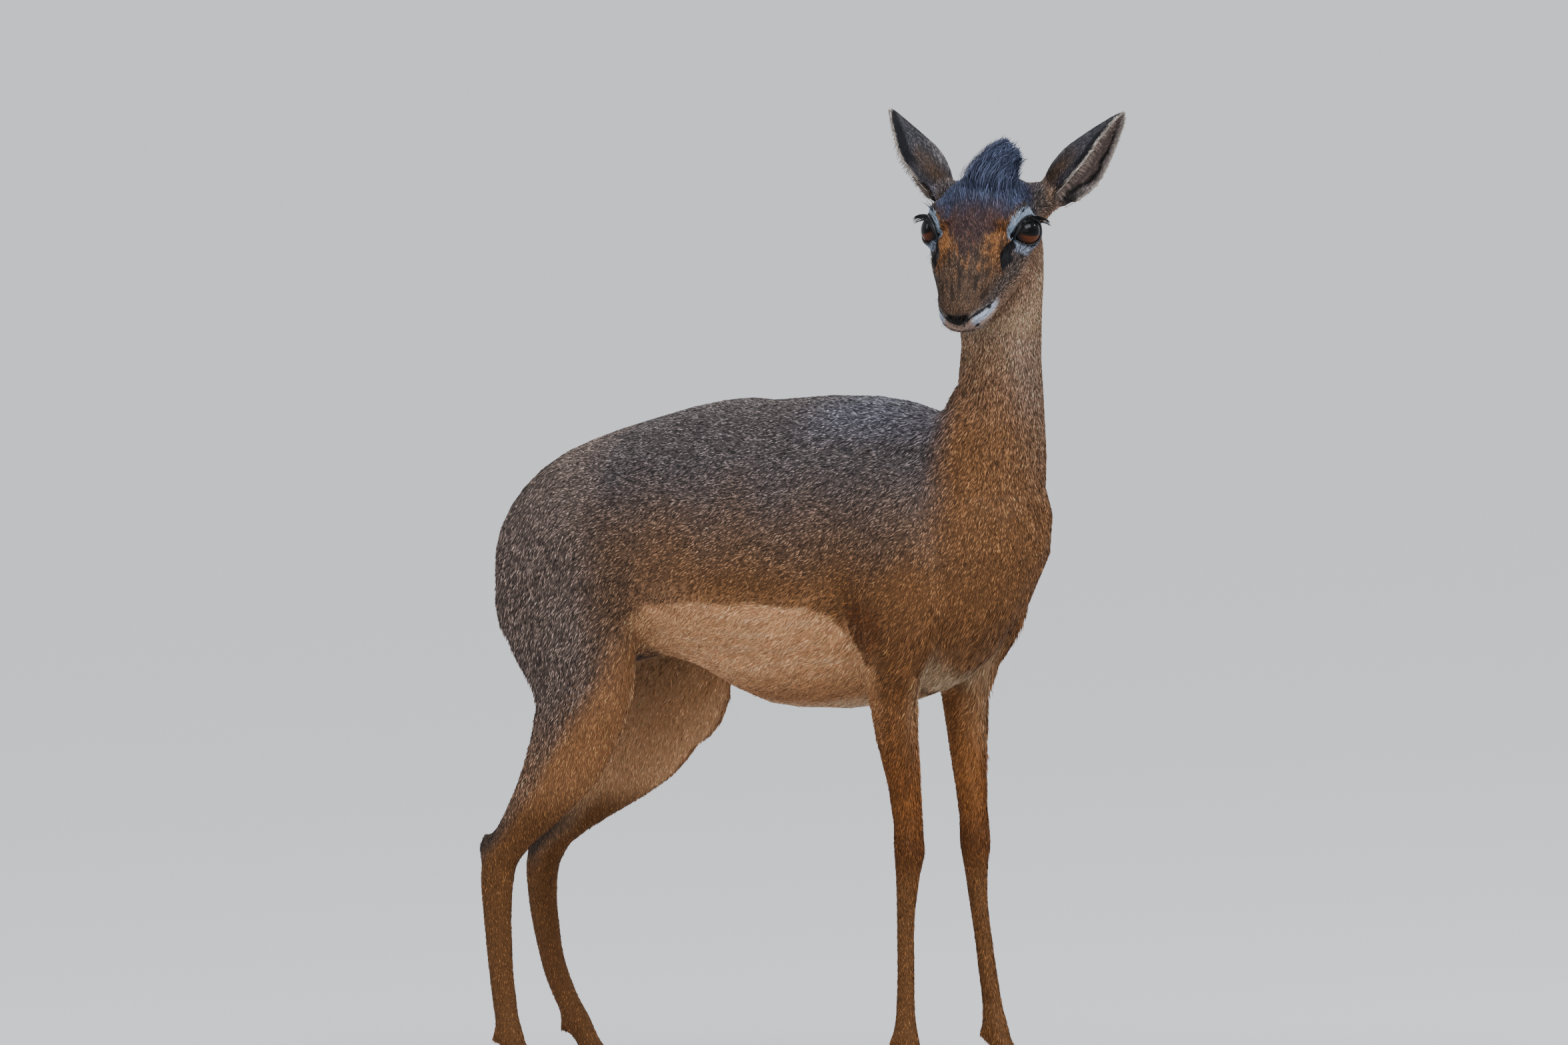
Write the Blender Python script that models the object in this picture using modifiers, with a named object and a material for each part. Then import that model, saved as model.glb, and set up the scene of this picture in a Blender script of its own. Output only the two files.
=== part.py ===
"""A life-size standing Kirk's dik-dik, a hornless female looking to its right.

The animal stands along Y with its chest towards -Y, its left side at +X and its hooves on z = 0.
The body is fused from lofted forms, then parted with thin cuts where a person would name its parts.
Rows of stations are in millimetres: "forward" runs towards the chest, "side" towards the left flank.
"""

import math

import bmesh
import bpy
import numpy as np
from mathutils import Matrix, Vector

MM = 0.001
CUT = 0.0003  # width of every thin cut, in metres

# Driving sizes of the animal, to the tips of its coat.
LEG_SPREAD_FORE = 32  # from the middle plane to each fore cannon
LEG_SPREAD_HIND = 34
LEFT_FORE_AHEAD = 18  # the left fore foot stands this far ahead of the right one
LEFT_HOCK_BACK = 18  # and the left hock this far behind the right one
LEFT_KNEE_AHEAD = 8  # while its knee is drawn forward
EYE_RADIUS = 10.6
EYE_SIDE = 25  # eye centre from the head's middle plane

# Where the point midway between the eyes lies, and how the head is held.
HEAD_POINT = (-25, 193, 513)
HEAD_YAW = 71  # degrees, towards the animal's right
HEAD_PITCH = 43  # degrees, nose down
HEAD_ROLL = 4.5  # degrees, left ear lower

# Heights of the level cuts.
NECK_TOP = 452
ELBOW = 229
CARPUS = 150
STIFLE = 240
HOCK = 149
FETLOCK = 46
CORONET = 15

# Fineness of the fused surfaces.
BODY_VOXEL = 0.0018
HEAD_VOXEL = 0.0011
BODY_SMOOTHING = 10
HEAD_SMOOTHING = 6
BODY_TRIANGLES = 3050
HEAD_TRIANGLES = 2050

COLOURS = {
    "coat": ((0.23, 0.17, 0.12), 0.85),
    "crest": ((0.08, 0.08, 0.09), 0.85),
    "ear": ((0.22, 0.17, 0.13), 0.85),
    "leg": ((0.42, 0.22, 0.10), 0.85),
    "eye": ((0.02, 0.012, 0.008), 0.05),
    "hoof": ((0.03, 0.025, 0.02), 0.45),
}


def collection(name):
    made = bpy.data.collections.new(name)
    bpy.context.scene.collection.children.link(made)
    return made


def cleared_scene():
    for thing in list(bpy.data.objects):
        bpy.data.objects.remove(thing)
    return collection("dik_dik"), collection("cutters")


PARTS, CUTTERS = cleared_scene()
CUTTERS.hide_render = True


# ---------------------------------------------------------------- placing and lofting


def place(side, forward, height):
    """A point in metres from its distances in millimetres."""
    return Vector((side, -forward, height)) * MM


def turn(x=0, y=0, z=0):
    """Turns in degrees about the side axis, then the long axis, then the upright one."""
    about_x = Matrix.Rotation(math.radians(x), 4, "X")
    about_y = Matrix.Rotation(math.radians(y), 4, "Y")
    about_z = Matrix.Rotation(math.radians(z), 4, "Z")
    return about_z @ about_y @ about_x


def head_matrix():
    """The head's own axes: its middle plane is X = 0, and its muzzle points towards -Y."""
    pitched = turn(x=HEAD_PITCH) @ turn(y=HEAD_ROLL)
    return Matrix.Translation(place(*HEAD_POINT)) @ turn(z=-HEAD_YAW) @ pitched


def form_of(name, mesh, matrix=None):
    """An object that holds the mesh, moved by the matrix. The mesh is freed."""
    if matrix is not None:
        bmesh.ops.transform(mesh, matrix=matrix, verts=mesh.verts)
    data = bpy.data.meshes.new(name)
    mesh.to_mesh(data)
    mesh.free()
    return bpy.data.objects.new(name, data)


def between(rows, steps):
    """Rows of stations with a Catmull-Rom curve run through each column."""
    rows = np.array(rows, float)
    ends = np.vstack([2 * rows[0] - rows[1], rows, 2 * rows[-1] - rows[-2]])
    out = []
    for i in range(len(rows) - 1):
        before, start, end, after = ends[i : i + 4]
        for t in np.arange(steps) / steps:
            out.append(
                start
                + 0.5 * t * (end - before)
                + t * t * (before - 2.5 * start + 2 * end - 0.5 * after)
                + t**3 * (1.5 * (start - end) + 0.5 * (after - before))
            )
    out.append(rows[-1])
    return out


def skin_rings(name, rings):
    """A closed body over a list of rings of points, with a flat cap at each end."""
    mesh = bmesh.new()
    loops = [[mesh.verts.new(point) for point in ring] for ring in rings]
    for low, high in zip(loops, loops[1:]):
        for i in range(len(low)):
            mesh.faces.new((low[i - 1], low[i], high[i], high[i - 1]))
    mesh.faces.new(loops[0])
    mesh.faces.new(loops[-1][::-1])
    bmesh.ops.recalc_face_normals(mesh, faces=mesh.faces)
    return form_of(name, mesh)


def power(value, exponent):
    return math.copysign(abs(value) ** exponent, value)


def barrel_form(name, stations, steps=4, around=28):
    """A loft of upright sections. Station: forward, top, bottom, half width, height of widest, fullness."""
    rings = []
    for forward, top, bottom, half, widest, fullness in between(stations, steps):
        ring = []
        for i in range(around):
            angle = math.tau * i / around
            across = power(math.cos(angle), 2 / fullness)
            rise = power(math.sin(angle), 2 / fullness)
            reach = top - widest if rise > 0 else widest - bottom
            ring.append(place(across * half, forward, widest + rise * reach))
        rings.append(ring)
    return skin_rings(name, rings)


def limb_form(name, stations, steps=4, around=18):
    """A loft square to its own spine. Station: side, forward, height, half fore-and-aft, half across."""
    rows = between(stations, steps)
    spine = [place(*row[:3]) for row in rows]
    rings = []
    for i, row in enumerate(rows):
        along = (spine[min(i + 1, len(spine) - 1)] - spine[max(i - 1, 0)]).normalized()
        fore = Vector((1, 0, 0)).cross(along).normalized()
        across = along.cross(fore)
        ring = []
        for j in range(around):
            angle = math.tau * j / around
            out = fore * (math.cos(angle) * row[3]) + across * (math.sin(angle) * row[4])
            ring.append(spine[i] + out * MM)
        rings.append(ring)
    return skin_rings(name, rings)


def mound(name, centre, halves, turned=None):
    """An ellipsoid of muscle or bone: its centre, and its half sizes in side, forward and height."""
    mesh = bmesh.new()
    bmesh.ops.create_uvsphere(mesh, u_segments=20, v_segments=12, radius=1)
    stretch = Matrix.Diagonal((*(half * MM for half in halves), 1))
    return form_of(name, mesh, Matrix.Translation(place(*centre)) @ (turned or Matrix()) @ stretch)


def mirrored(form):
    """The same form on the other side of the middle plane."""
    mesh = bmesh.new()
    mesh.from_mesh(form.data)
    bmesh.ops.transform(mesh, matrix=Matrix.Scale(-1, 4, (1, 0, 0)), verts=mesh.verts)
    bmesh.ops.reverse_faces(mesh, faces=mesh.faces)
    return form_of(form.name + "_mirrored", mesh)


# ---------------------------------------------------------------- the forms of the body


def trunk_forms():
    barrel = barrel_form(
        "barrel",
        [
            (-184, 336, 294, 16, 315, 2.0),
            (-177, 353, 274, 34, 318, 2.1),
            (-162, 370, 257, 46, 320, 2.2),
            (-140, 385, 252, 54, 322, 2.2),
            (-110, 396, 257, 59, 326, 2.2),
            (-70, 406, 262, 62, 328, 2.2),
            (-30, 414, 252, 66, 322, 2.2),
            (10, 417, 234, 69, 312, 2.2),
            (50, 419, 230, 68, 308, 2.2),
            (85, 419, 232, 60, 310, 2.1),
            (115, 415, 236, 53, 314, 2.0),
            (145, 405, 248, 49, 320, 2.0),
            (173, 392, 272, 42, 328, 2.0),
            (195, 374, 302, 30, 338, 2.0),
            (205, 360, 322, 17, 341, 2.0),
        ],
    )
    shoulder = limb_form(
        "shoulder",
        [
            (24, 92, 398, 12, 8),
            (40, 104, 362, 32, 12),
            (46, 122, 325, 40, 15),
            (43, 128, 292, 36, 16),
            (39, 121, 262, 25, 15),
            (36, 119, 240, 18, 12),
        ],
    )
    return [barrel, shoulder, mirrored(shoulder)]


def neck_form():
    return limb_form(
        "neck",
        [
            (0, 130, 318, 66, 46),
            (0, 152, 352, 56, 42),
            (0, 170, 384, 41, 35),
            (0, 181, 412, 29, 28),
            (-1, 185, 438, 26.5, 24),
            (-2, 187, 464, 27, 24.5),
            (-3, 188, 490, 27.5, 26),
            (-3, 188, 508, 27, 25),
            (-4, 186, 520, 22, 20),
        ],
        around=24,
    )


def fore_leg_forms(side, ahead):
    """One fore leg: side is +1 for the left, and ahead is how far its foot stands in front of the right one."""
    spread = side * LEG_SPREAD_FORE
    leg = limb_form(
        "fore_leg",
        [
            (side * 37, 121, 262, 21, 17),
            (side * 35, 118.5, 240, 17.5, 14),
            (side * 34, 119, 216, 14.7, 12),
            (spread, 121, 188, 11.5, 9.5),
            (spread, 122, 166, 10, 8.6),
            (spread, 122, 150, 10.5, 9.4),
            (spread, 120 + 0.1 * ahead, 136, 8.6, 7.4),
            (spread, 117 + 0.3 * ahead, 112, 6.8, 5.8),
            (spread, 115 + 0.6 * ahead, 80, 6.6, 5.6),
            (spread, 113 + 0.85 * ahead, 54, 7.2, 6.2),
            (spread, 112 + ahead, 40, 9.0, 7.6),
            (spread, 116 + ahead, 29, 7.6, 7.4),
            (spread, 122 + ahead, 17, 9.5, 9.0),
            (spread, 125 + ahead, 11, 9.0, 8.6),
        ],
    )
    return [leg] + dewclaws(spread, 104 + ahead)


def hind_leg_forms(side, back, ahead):
    """One hind leg: its hock stands "back" behind the right one, and its knee "ahead" of it."""
    spread = side * LEG_SPREAD_HIND
    leg = limb_form(
        "hind_leg",
        [
            (side * 22, -116, 366, 30, 14),
            (side * 39, -121, 335, 45, 16),
            (side * 43, -120, 300, 50, 17),
            (side * 42, -112 - 0.1 * back, 265, 46, 17),
            (side * 40, -114 - 0.2 * back + 0.5 * ahead, 235, 36 + 0.4 * ahead, 15),
            (side * 38, -128 - 0.4 * back + 0.3 * ahead, 208, 30 + 0.3 * ahead, 13),
            (side * 36, -152 - 0.7 * back, 180, 20, 10),
            (spread, -172 - back, 161, 14.5, 8.8),
            (spread, -185 - 1.05 * back, 146, 12.8, 8.8),
            (spread, -189.5 - 1.1 * back, 130, 12, 8.4),
            (spread, -190.5 - 1.05 * back, 105, 10.3, 7.4),
            (spread, -190 - 0.8 * back, 75, 9.2, 6.8),
            (spread, -188 - 0.4 * back, 52, 8.8, 7.0),
            (spread, -186 - 0.1 * back, 39, 9.4, 8.0),
            (spread, -181, 28, 7.8, 7.6),
            (spread, -174, 16, 9.5, 9.0),
            (spread, -171, 11, 9.0, 8.6),
        ],
    )
    heel = mound("heel", (spread, -196 - back, 151), (6.5, 7, 10))
    knee = mound("knee", (side * 42, -90 + ahead, 243 - 0.8 * ahead), (12, 18, 33), turn(x=24))
    return [leg, heel, knee] + dewclaws(spread, -195 - 0.1 * back)


def dewclaws(spread, forward):
    """The two small horny nubs behind a fetlock."""
    return [mound("dewclaw", (spread + across, forward, 36), (3.2, 4, 5)) for across in (-5.5, 5.5)]


def tail_form():
    return limb_form(
        "tail",
        [
            (0, -166, 346, 8, 9),
            (0, -182, 341, 8, 9.5),
            (0, -190, 327, 6.5, 9),
            (0, -192, 308, 5, 7),
            (0, -190, 296, 2.5, 3),
        ],
        steps=2,
        around=10,
    )


# ---------------------------------------------------------------- the forms of the head, in its own axes

MOUTH_CORNER = (0, 46, -9)  # height and reach of both corners, on the middle plane
MOUTH_RISE = 10  # degrees that the lips rise towards the nose
EAR_ROOT = (30.5, -38.5, -10)
EAR_TIP = (70.8, -89.8, 9)
EAR_WALL = 2.4
EAR_FACING = 92  # degrees that the cup's mouth is turned outwards from straight ahead
EAR_STATIONS = [  # distance from the root, half width, depth of the cup
    (-7, 9.0, 12.0),
    (4, 12.5, 18.0),
    (15, 16.6, 22.0),
    (28, 18.6, 22.5),
    (42, 16.5, 16.0),
    (54, 12.0, 9.5),
    (62.5, 7.0, 5.0),
    (67.8, 2.0, 1.6),
]


def head_forms():
    skull = barrel_form(
        "skull",
        [
            (-53, -10, -26, 10, -18, 2.0),
            (-48, -2, -33, 19, -15, 2.0),
            (-38, 9, -38, 26, -10, 2.1),
            (-25, 17.5, -41, 29.5, -6, 2.1),
            (-12, 21.5, -42, 31.5, -3, 2.1),
            (0, 21.5, -40.5, 31, -2, 2.1),
            (12, 19, -38.5, 29, -5, 2.1),
            (25, 15.5, -35, 26, -8, 2.2),
            (38, 12.5, -30, 21, -9, 2.4),
            (50, 10.5, -26, 17.2, -8, 2.5),
            (60, 8.5, -21.5, 14.5, -6, 2.5),
            (68, 6, -16, 12, -4.5, 2.3),
            (72.5, 3, -9.5, 8, -3.5, 2.0),
        ],
        steps=3,
    )
    brow = mound("brow", (25, -2, 9), (8, 14, 8), turn(z=12))
    ear_root = mound("ear_root", (25, -35, -11), (11, 12, 13))
    return [skull, brow, mirrored(brow), ear_root, mirrored(ear_root)]


def ear_axis():
    return (place(*EAR_TIP) - place(*EAR_ROOT)).normalized()


def ear_form():
    """A cupped leaf: each section is a crescent between a deep outer arc and a shallower inner one."""
    along = ear_axis()
    facing = math.radians(EAR_FACING)
    ahead = Vector((math.sin(facing), -math.cos(facing), 0))
    mouth = (ahead - along * ahead.dot(along)).normalized()
    across = along.cross(mouth)
    arc = np.linspace(-math.pi / 2, math.pi / 2, 7)
    rings = []
    for distance, half, depth in between(EAR_STATIONS, 2):
        wall = min(EAR_WALL, depth)
        hollow = (depth - wall) * (1 - math.exp(-max(distance, 0) / 9))
        inside = 0.97 * (half - 0.35 * wall)
        outer = [(half * math.sin(a), -depth * math.cos(a)) for a in arc]
        inner = [(inside * math.sin(a), -hollow * math.cos(a)) for a in arc[::-1]]
        middle = place(*EAR_ROOT) + (along * distance + mouth * (depth / 2)) * MM
        rings.append([middle + (across * x + mouth * y) * MM for x, y in outer + inner])
    return skin_rings("ear", rings)


def crest_form():
    """The upright tuft of hair on the crown."""
    return limb_form(
        "crest",
        [
            (1, -18, 4, 16, 16),
            (3, -24, 13, 15, 15),
            (8, -32, 18.5, 11, 11.5),
            (13, -38, 23, 7, 7.5),
            (16, -42, 26, 2.5, 3),
        ],
        steps=2,
        around=12,
    )


def eye_form(gap=0.0):
    mesh = bmesh.new()
    bmesh.ops.create_uvsphere(mesh, u_segments=16, v_segments=10, radius=EYE_RADIUS * MM + gap)
    return form_of("eye", mesh, Matrix.Translation(place(EYE_SIDE, 0, 0)))


# ---------------------------------------------------------------- fusing, cutting and naming


def applied(body):
    """Replaces the object's mesh with what its modifiers make of it."""
    graph = bpy.context.evaluated_depsgraph_get()
    data = bpy.data.meshes.new_from_object(body.evaluated_get(graph))
    body.modifiers.clear()
    body.data = data


def fuse(name, forms, voxel, smoothing, triangles):
    """One closed surface round all the forms, smoothed where they meet."""
    mesh = bmesh.new()
    for form in forms:
        mesh.from_mesh(form.data)
        bpy.data.objects.remove(form)
    body = form_of(name, mesh)
    PARTS.objects.link(body)
    remesh = body.modifiers.new("fused", "REMESH")
    remesh.mode = "VOXEL"
    remesh.voxel_size = voxel
    soften = body.modifiers.new("softened", "SMOOTH")
    soften.factor = 0.5
    soften.iterations = smoothing
    applied(body)
    thin = body.modifiers.new("thinned", "DECIMATE")
    thin.ratio = triangles / (2 * len(body.data.polygons))
    applied(body)
    return body


def moved(form, matrix):
    form.data.transform(matrix)
    return form


def block(name, low, high, grow=0.0, matrix=None):
    """A box cutter between two corners, grown on every side and then moved by the matrix."""
    mesh = bmesh.new()
    bmesh.ops.create_cube(mesh, size=1)
    a = place(*low)
    b = place(*high)
    sizes = [abs(a[i] - b[i]) + 2 * grow for i in range(3)]
    placed = Matrix.Translation((a + b) / 2) @ Matrix.Diagonal((*sizes, 1))
    return form_of(name, mesh, (matrix or Matrix()) @ placed)


def cut(body, tool, operation):
    """One Boolean with a closed tool, which goes to the cutters."""
    if tool.name not in CUTTERS.objects:
        CUTTERS.objects.link(tool)
    tool.hide_render = True
    tool.display_type = "WIRE"
    made = body.modifiers.new("cut", "BOOLEAN")
    made.operation = operation
    made.object = tool
    applied(body)


def peel(body, name, low, high, matrix=None):
    """Takes what lies inside a box from the body as a piece of its own, with a thin cut round it."""
    piece = bpy.data.objects.new(name, body.data.copy())
    PARTS.objects.link(piece)
    cut(piece, block(name + "_inside", low, high, 0.0, matrix), "INTERSECT")
    cut(body, block(name + "_outside", low, high, CUT, matrix), "DIFFERENCE")
    return piece


def seat(form, name, body):
    """Trims a form by the body that it stands on, a thin gap away from it."""
    form.name = name
    PARTS.objects.link(form)
    grown = bpy.data.objects.new(name + "_bed", body.data.copy())
    CUTTERS.objects.link(grown)
    swell = grown.modifiers.new("swell", "DISPLACE")
    swell.strength = CUT
    swell.mid_level = 0
    applied(grown)
    cut(form, grown, "DIFFERENCE")


def about(pivot, matrix):
    """The matrix applied about a point."""
    centre = Matrix.Translation(place(*pivot))
    return centre @ matrix @ centre.inverted()


# ---------------------------------------------------------------- the pieces

TOE_SECTIONS = ((CORONET, 0, 8.6, 4.2), (7, 2.2, 10.2, 4.6), (0, 3.6, 11.6, 4.6))  # height, ahead, half sizes
TOE_APART = 5.0
TOE_POINTED = 0.28


def toe(name, side, forward):
    """One claw of a hoof: pointed in front, with a flat sole."""
    rings = []
    for height, ahead, half_long, half_wide in TOE_SECTIONS:
        ring = []
        for i in range(12):
            angle = math.tau * i / 12
            taper = 1 - TOE_POINTED * math.cos(angle)
            across = math.sin(angle) * half_wide * taper
            ring.append(place(side + across, forward + ahead + math.cos(angle) * half_long, height))
        rings.append(ring)
    form = skin_rings(name, rings)
    PARTS.objects.link(form)


def hoof(name, spread, forward):
    toe(name + "_inner", spread - math.copysign(TOE_APART, spread), forward)
    toe(name + "_outer", spread + math.copysign(TOE_APART, spread), forward)


def fore_leg(body, word, side, ahead):
    """Parts one fore leg with boxes that reach round it and stop short of the other one."""
    low, high = sorted((side * 6, side * 80))
    peel(body, f"fore_arm_{word}", (low, 70, CARPUS), (high, 200, ELBOW))
    peel(body, f"fore_cannon_{word}", (low, 70, FETLOCK), (high, 200, CARPUS - CUT / MM))
    peel(body, f"fore_pastern_{word}", (low, 70, CORONET + CUT / MM), (high, 200, FETLOCK - CUT / MM))
    hoof(f"fore_hoof_{word}", side * LEG_SPREAD_FORE, 123 + ahead)


def hind_leg(body, word, side):
    """Parts one hind leg. The thigh's box leans outwards, so that it leaves the middle of the rump."""
    low, high = sorted((side * 6, side * 90))
    inner = about((side * 12, -130, STIFLE), turn(y=side * 12))
    peel(body, f"shank_{word}", (low, -260, HOCK), (high, -40, STIFLE))
    peel(body, f"thigh_{word}", (side * 12, -230, 200), (side * 120, -54, 345), inner)
    peel(body, f"hind_cannon_{word}", (low, -260, FETLOCK), (high, -40, HOCK - CUT / MM))
    peel(body, f"hind_pastern_{word}", (low, -260, CORONET + CUT / MM), (high, -40, FETLOCK - CUT / MM))
    hoof(f"hind_hoof_{word}", side * LEG_SPREAD_HIND, -173)


def build_body():
    forms = trunk_forms() + [neck_form()]
    forms += fore_leg_forms(-1, 0) + fore_leg_forms(1, LEFT_FORE_AHEAD)
    forms += hind_leg_forms(-1, 0, 0) + hind_leg_forms(1, LEFT_HOCK_BACK, LEFT_KNEE_AHEAD)
    trunk = fuse("trunk", forms, BODY_VOXEL, BODY_SMOOTHING, BODY_TRIANGLES)
    cut(trunk, block("above_neck", (-90, 90, NECK_TOP), (90, 270, NECK_TOP + 90)), "DIFFERENCE")
    cut(trunk, block("below_coronet", (-90, -260, -20), (90, 220, CORONET + CUT / MM)), "DIFFERENCE")
    slope = about((0, 170, 385), turn(x=41))
    peel(trunk, "neck", (-90, 92, 385), (90, 250, 520), slope)
    for word, side, ahead in (("right", -1, 0), ("left", 1, LEFT_FORE_AHEAD)):
        fore_leg(trunk, word, side, ahead)
        hind_leg(trunk, word, side)
    seat(tail_form(), "tail", trunk)


def build_head():
    placed = head_matrix()
    forms = [moved(form, placed) for form in head_forms()] + [neck_form()]
    head = fuse("head", forms, HEAD_VOXEL, HEAD_SMOOTHING, HEAD_TRIANGLES)
    below = block("below_head", (-90, 60, 200), (90, 300, NECK_TOP + CUT / MM))
    cut(head, below, "DIFFERENCE")
    seat(moved(ear_form(), placed), "ear_left", head)
    seat(moved(mirrored(ear_form()), placed), "ear_right", head)
    seat(moved(crest_form(), placed), "crest", head)
    for word, eye, socket in (
        ("left", eye_form(), eye_form(CUT)),
        ("right", mirrored(eye_form()), mirrored(eye_form(CUT))),
    ):
        eye.name = f"eye_{word}"
        socket.name = f"socket_{word}"
        PARTS.objects.link(moved(eye, placed))
        cut(head, moved(socket, placed), "DIFFERENCE")
    along_lips = placed @ about(MOUTH_CORNER, turn(x=-MOUTH_RISE))
    peel(head, "lower_jaw", (-40, MOUTH_CORNER[1] - 4, -80), (40, 100, MOUTH_CORNER[2]), along_lips)


def finish():
    """Gives every piece its material, and puts the origin under the middle of the whole."""
    corners = [thing.matrix_world @ Vector(c) for thing in PARTS.objects for c in thing.bound_box]
    middle = [(min(c[i] for c in corners) + max(c[i] for c in corners)) / 2 for i in range(2)]
    for thing in PARTS.objects:
        thing.data.transform(Matrix.Translation((-middle[0], -middle[1], 0)))
        thing.data.materials.clear()
        thing.data.materials.append(material(thing.name, kind(thing.name)))


def kind(name):
    if "hoof" in name:
        return "hoof"
    if name.startswith(("eye", "ear", "crest")):
        return name.split("_")[0]
    if any(word in name for word in ("arm", "cannon", "pastern", "shank")):
        return "leg"
    return "coat"


def material(name, finish_of):
    colour, roughness = COLOURS[finish_of]
    made = bpy.data.materials.new(name)
    made.use_nodes = True
    shader = made.node_tree.nodes["Principled BSDF"]
    shader.inputs["Base Color"].default_value = (*colour, 1)
    shader.inputs["Roughness"].default_value = roughness
    shader.inputs["Metallic"].default_value = 0
    return made


build_body()
build_head()
finish()
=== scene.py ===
"""The look of a life-size Kirk's dik-dik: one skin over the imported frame, a coat of tufts, and her face.

Points are in metres in the frame, where she stands along Y with her chest towards -Y.
Tables of places are in millimetres: "side" towards her left, "forward" towards the chest or the nose.
"""

import math

import bmesh
import bpy
import numpy as np
from mathutils import Matrix, Vector
from mathutils.bvhtree import BVHTree


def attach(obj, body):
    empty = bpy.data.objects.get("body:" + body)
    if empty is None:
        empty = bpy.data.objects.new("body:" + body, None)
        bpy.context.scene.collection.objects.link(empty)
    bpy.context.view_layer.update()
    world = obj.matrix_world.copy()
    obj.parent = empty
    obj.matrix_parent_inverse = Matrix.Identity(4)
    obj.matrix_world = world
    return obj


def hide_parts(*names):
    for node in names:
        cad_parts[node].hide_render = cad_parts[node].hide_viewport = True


MM = 0.001
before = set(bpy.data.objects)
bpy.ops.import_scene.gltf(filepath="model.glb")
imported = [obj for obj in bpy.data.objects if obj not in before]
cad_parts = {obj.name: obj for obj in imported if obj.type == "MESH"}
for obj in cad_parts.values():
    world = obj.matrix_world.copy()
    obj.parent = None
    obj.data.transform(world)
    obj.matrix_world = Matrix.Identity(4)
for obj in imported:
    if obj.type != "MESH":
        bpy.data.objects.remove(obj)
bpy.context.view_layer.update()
chance = np.random.default_rng(7)

# ---------------------------------------------------------------- where things are

STAND = np.array((0.004305, 0.010482, 0.0))  # the point on the floor that she is measured from
HEAD_POINT = (-25, 193, 513)  # midway between the eyes
HEAD_YAW = 71
HEAD_PITCH = 43
HEAD_ROLL = 4.5
EYE_RADIUS = 10.6
EYE_SIDE = 25
EAR_ROOT = (30.5, -38.5, -10)
EAR_TIP = (70.8, -89.8, 9)
EAR_FACING = 92
EAR_STATIONS = [  # distance from the root, half width, depth of the cup
    (-7, 8.2, 11.0), (4, 12.0, 17.3), (15, 16.1, 21.3), (28, 18.1, 21.8),
    (42, 16.1, 15.4), (54, 11.7, 9.0), (62.5, 6.7, 4.6), (67.0, 2.2, 1.6),
]
EAR_WALL = 1.7
CREST_STATIONS = [  # place on the head and half widths
    (1, -18, 4, 16, 16), (2.5, -24, 13, 15.5, 15.5), (6.5, -32, 19, 12.5, 12.5),
    (11, -37.5, 23.5, 10.5, 9.5), (15.5, -41, 26, 8, 7),
]
FLIP = np.array((1, -1, 1))  # from side, forward and height to X, Y and Z


def turned(x=0, y=0, z=0):
    """A turn in degrees about X, then Y, then Z, as a 3 by 3 array."""
    parts = [Matrix.Rotation(math.radians(a), 3, n) for a, n in ((z, "Z"), (y, "Y"), (x, "X"))]
    return np.array(parts[0] @ parts[1] @ parts[2])


HEAD_TURN = turned(z=-HEAD_YAW) @ turned(x=HEAD_PITCH) @ turned(y=HEAD_ROLL)


def stand(places):
    """Points in the frame from side, forward and height."""
    return np.asarray(places, float) * FLIP * MM + STAND


def stood(points):
    """Side, forward and height of points in the frame."""
    return (points - STAND) * FLIP / MM


HEAD_MIDDLE = stand(HEAD_POINT)


def on_head(places):
    """Points in the frame from places in the head's own side, forward and up."""
    return (np.asarray(places, float) * FLIP * MM) @ HEAD_TURN.T + HEAD_MIDDLE


def in_head(points):
    return ((points - HEAD_MIDDLE) @ HEAD_TURN) * FLIP / MM


def head_way(ways):
    """Directions in the frame from directions in the head's own axes."""
    return (np.asarray(ways, float) * FLIP) @ HEAD_TURN.T


# ---------------------------------------------------------------- small sums on arrays


def unit(vectors):
    return vectors / np.maximum(np.linalg.norm(vectors, axis=-1, keepdims=True), 1e-9)


def rise(values, low, high):
    """0 below low, 1 above high and a smooth step between them. It falls where low is over high."""
    t = np.clip((values - low) / (high - low), 0, 1)
    return t * t * (3 - 2 * t)


def joined(*columns):
    return np.stack(np.broadcast_arrays(*columns), 1).astype(float)


def bump_at(values, middle, half):
    """A smooth hill of height 1 that ends half away from its middle."""
    return rise(np.abs(values - middle), half, 0)


def mixed(a, b, weight):
    return a + (b - a) * (weight[:, None] if np.ndim(weight) and np.ndim(b) else weight)


def between(rows, steps):
    """Rows of stations with a Catmull-Rom curve run through each column."""
    rows = np.array(rows, float)
    ends = np.vstack([2 * rows[0] - rows[1], rows, 2 * rows[-1] - rows[-2]])
    out = []
    for before, start, end, after in zip(ends, ends[1:], ends[2:], ends[3:]):
        for t in np.arange(steps) / steps:
            out.append(
                start
                + 0.5 * t * (end - before)
                + t * t * (before - 2.5 * start + 2 * end - 0.5 * after)
                + t**3 * (1.5 * (start - end) + 0.5 * (after - before))
            )
    return np.array(out + [rows[-1]])


def from_line(points, line):
    """Distance of each point from a line of points, and how far along the line it is nearest, from 0 to 1."""
    line = np.asarray(line, float)
    least = np.full(len(points), np.inf)
    along = np.zeros(len(points))
    for i, (a, b) in enumerate(zip(line, line[1:])):
        ab = b - a
        t = np.clip((points - a) @ ab / max(ab @ ab, 1e-9), 0, 1)
        apart = np.linalg.norm(points - a - t[:, None] * ab, axis=1)
        closer = apart < least
        least = np.where(closer, apart, least)
        along = np.where(closer, (i + t) / (len(line) - 1), along)
    return least, along


def both_sides(places):
    """Places with side made positive, so that one table serves left and right."""
    return np.abs(places[:, :1]) * (1, 0, 0) + places * (0, 1, 1)


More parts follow.
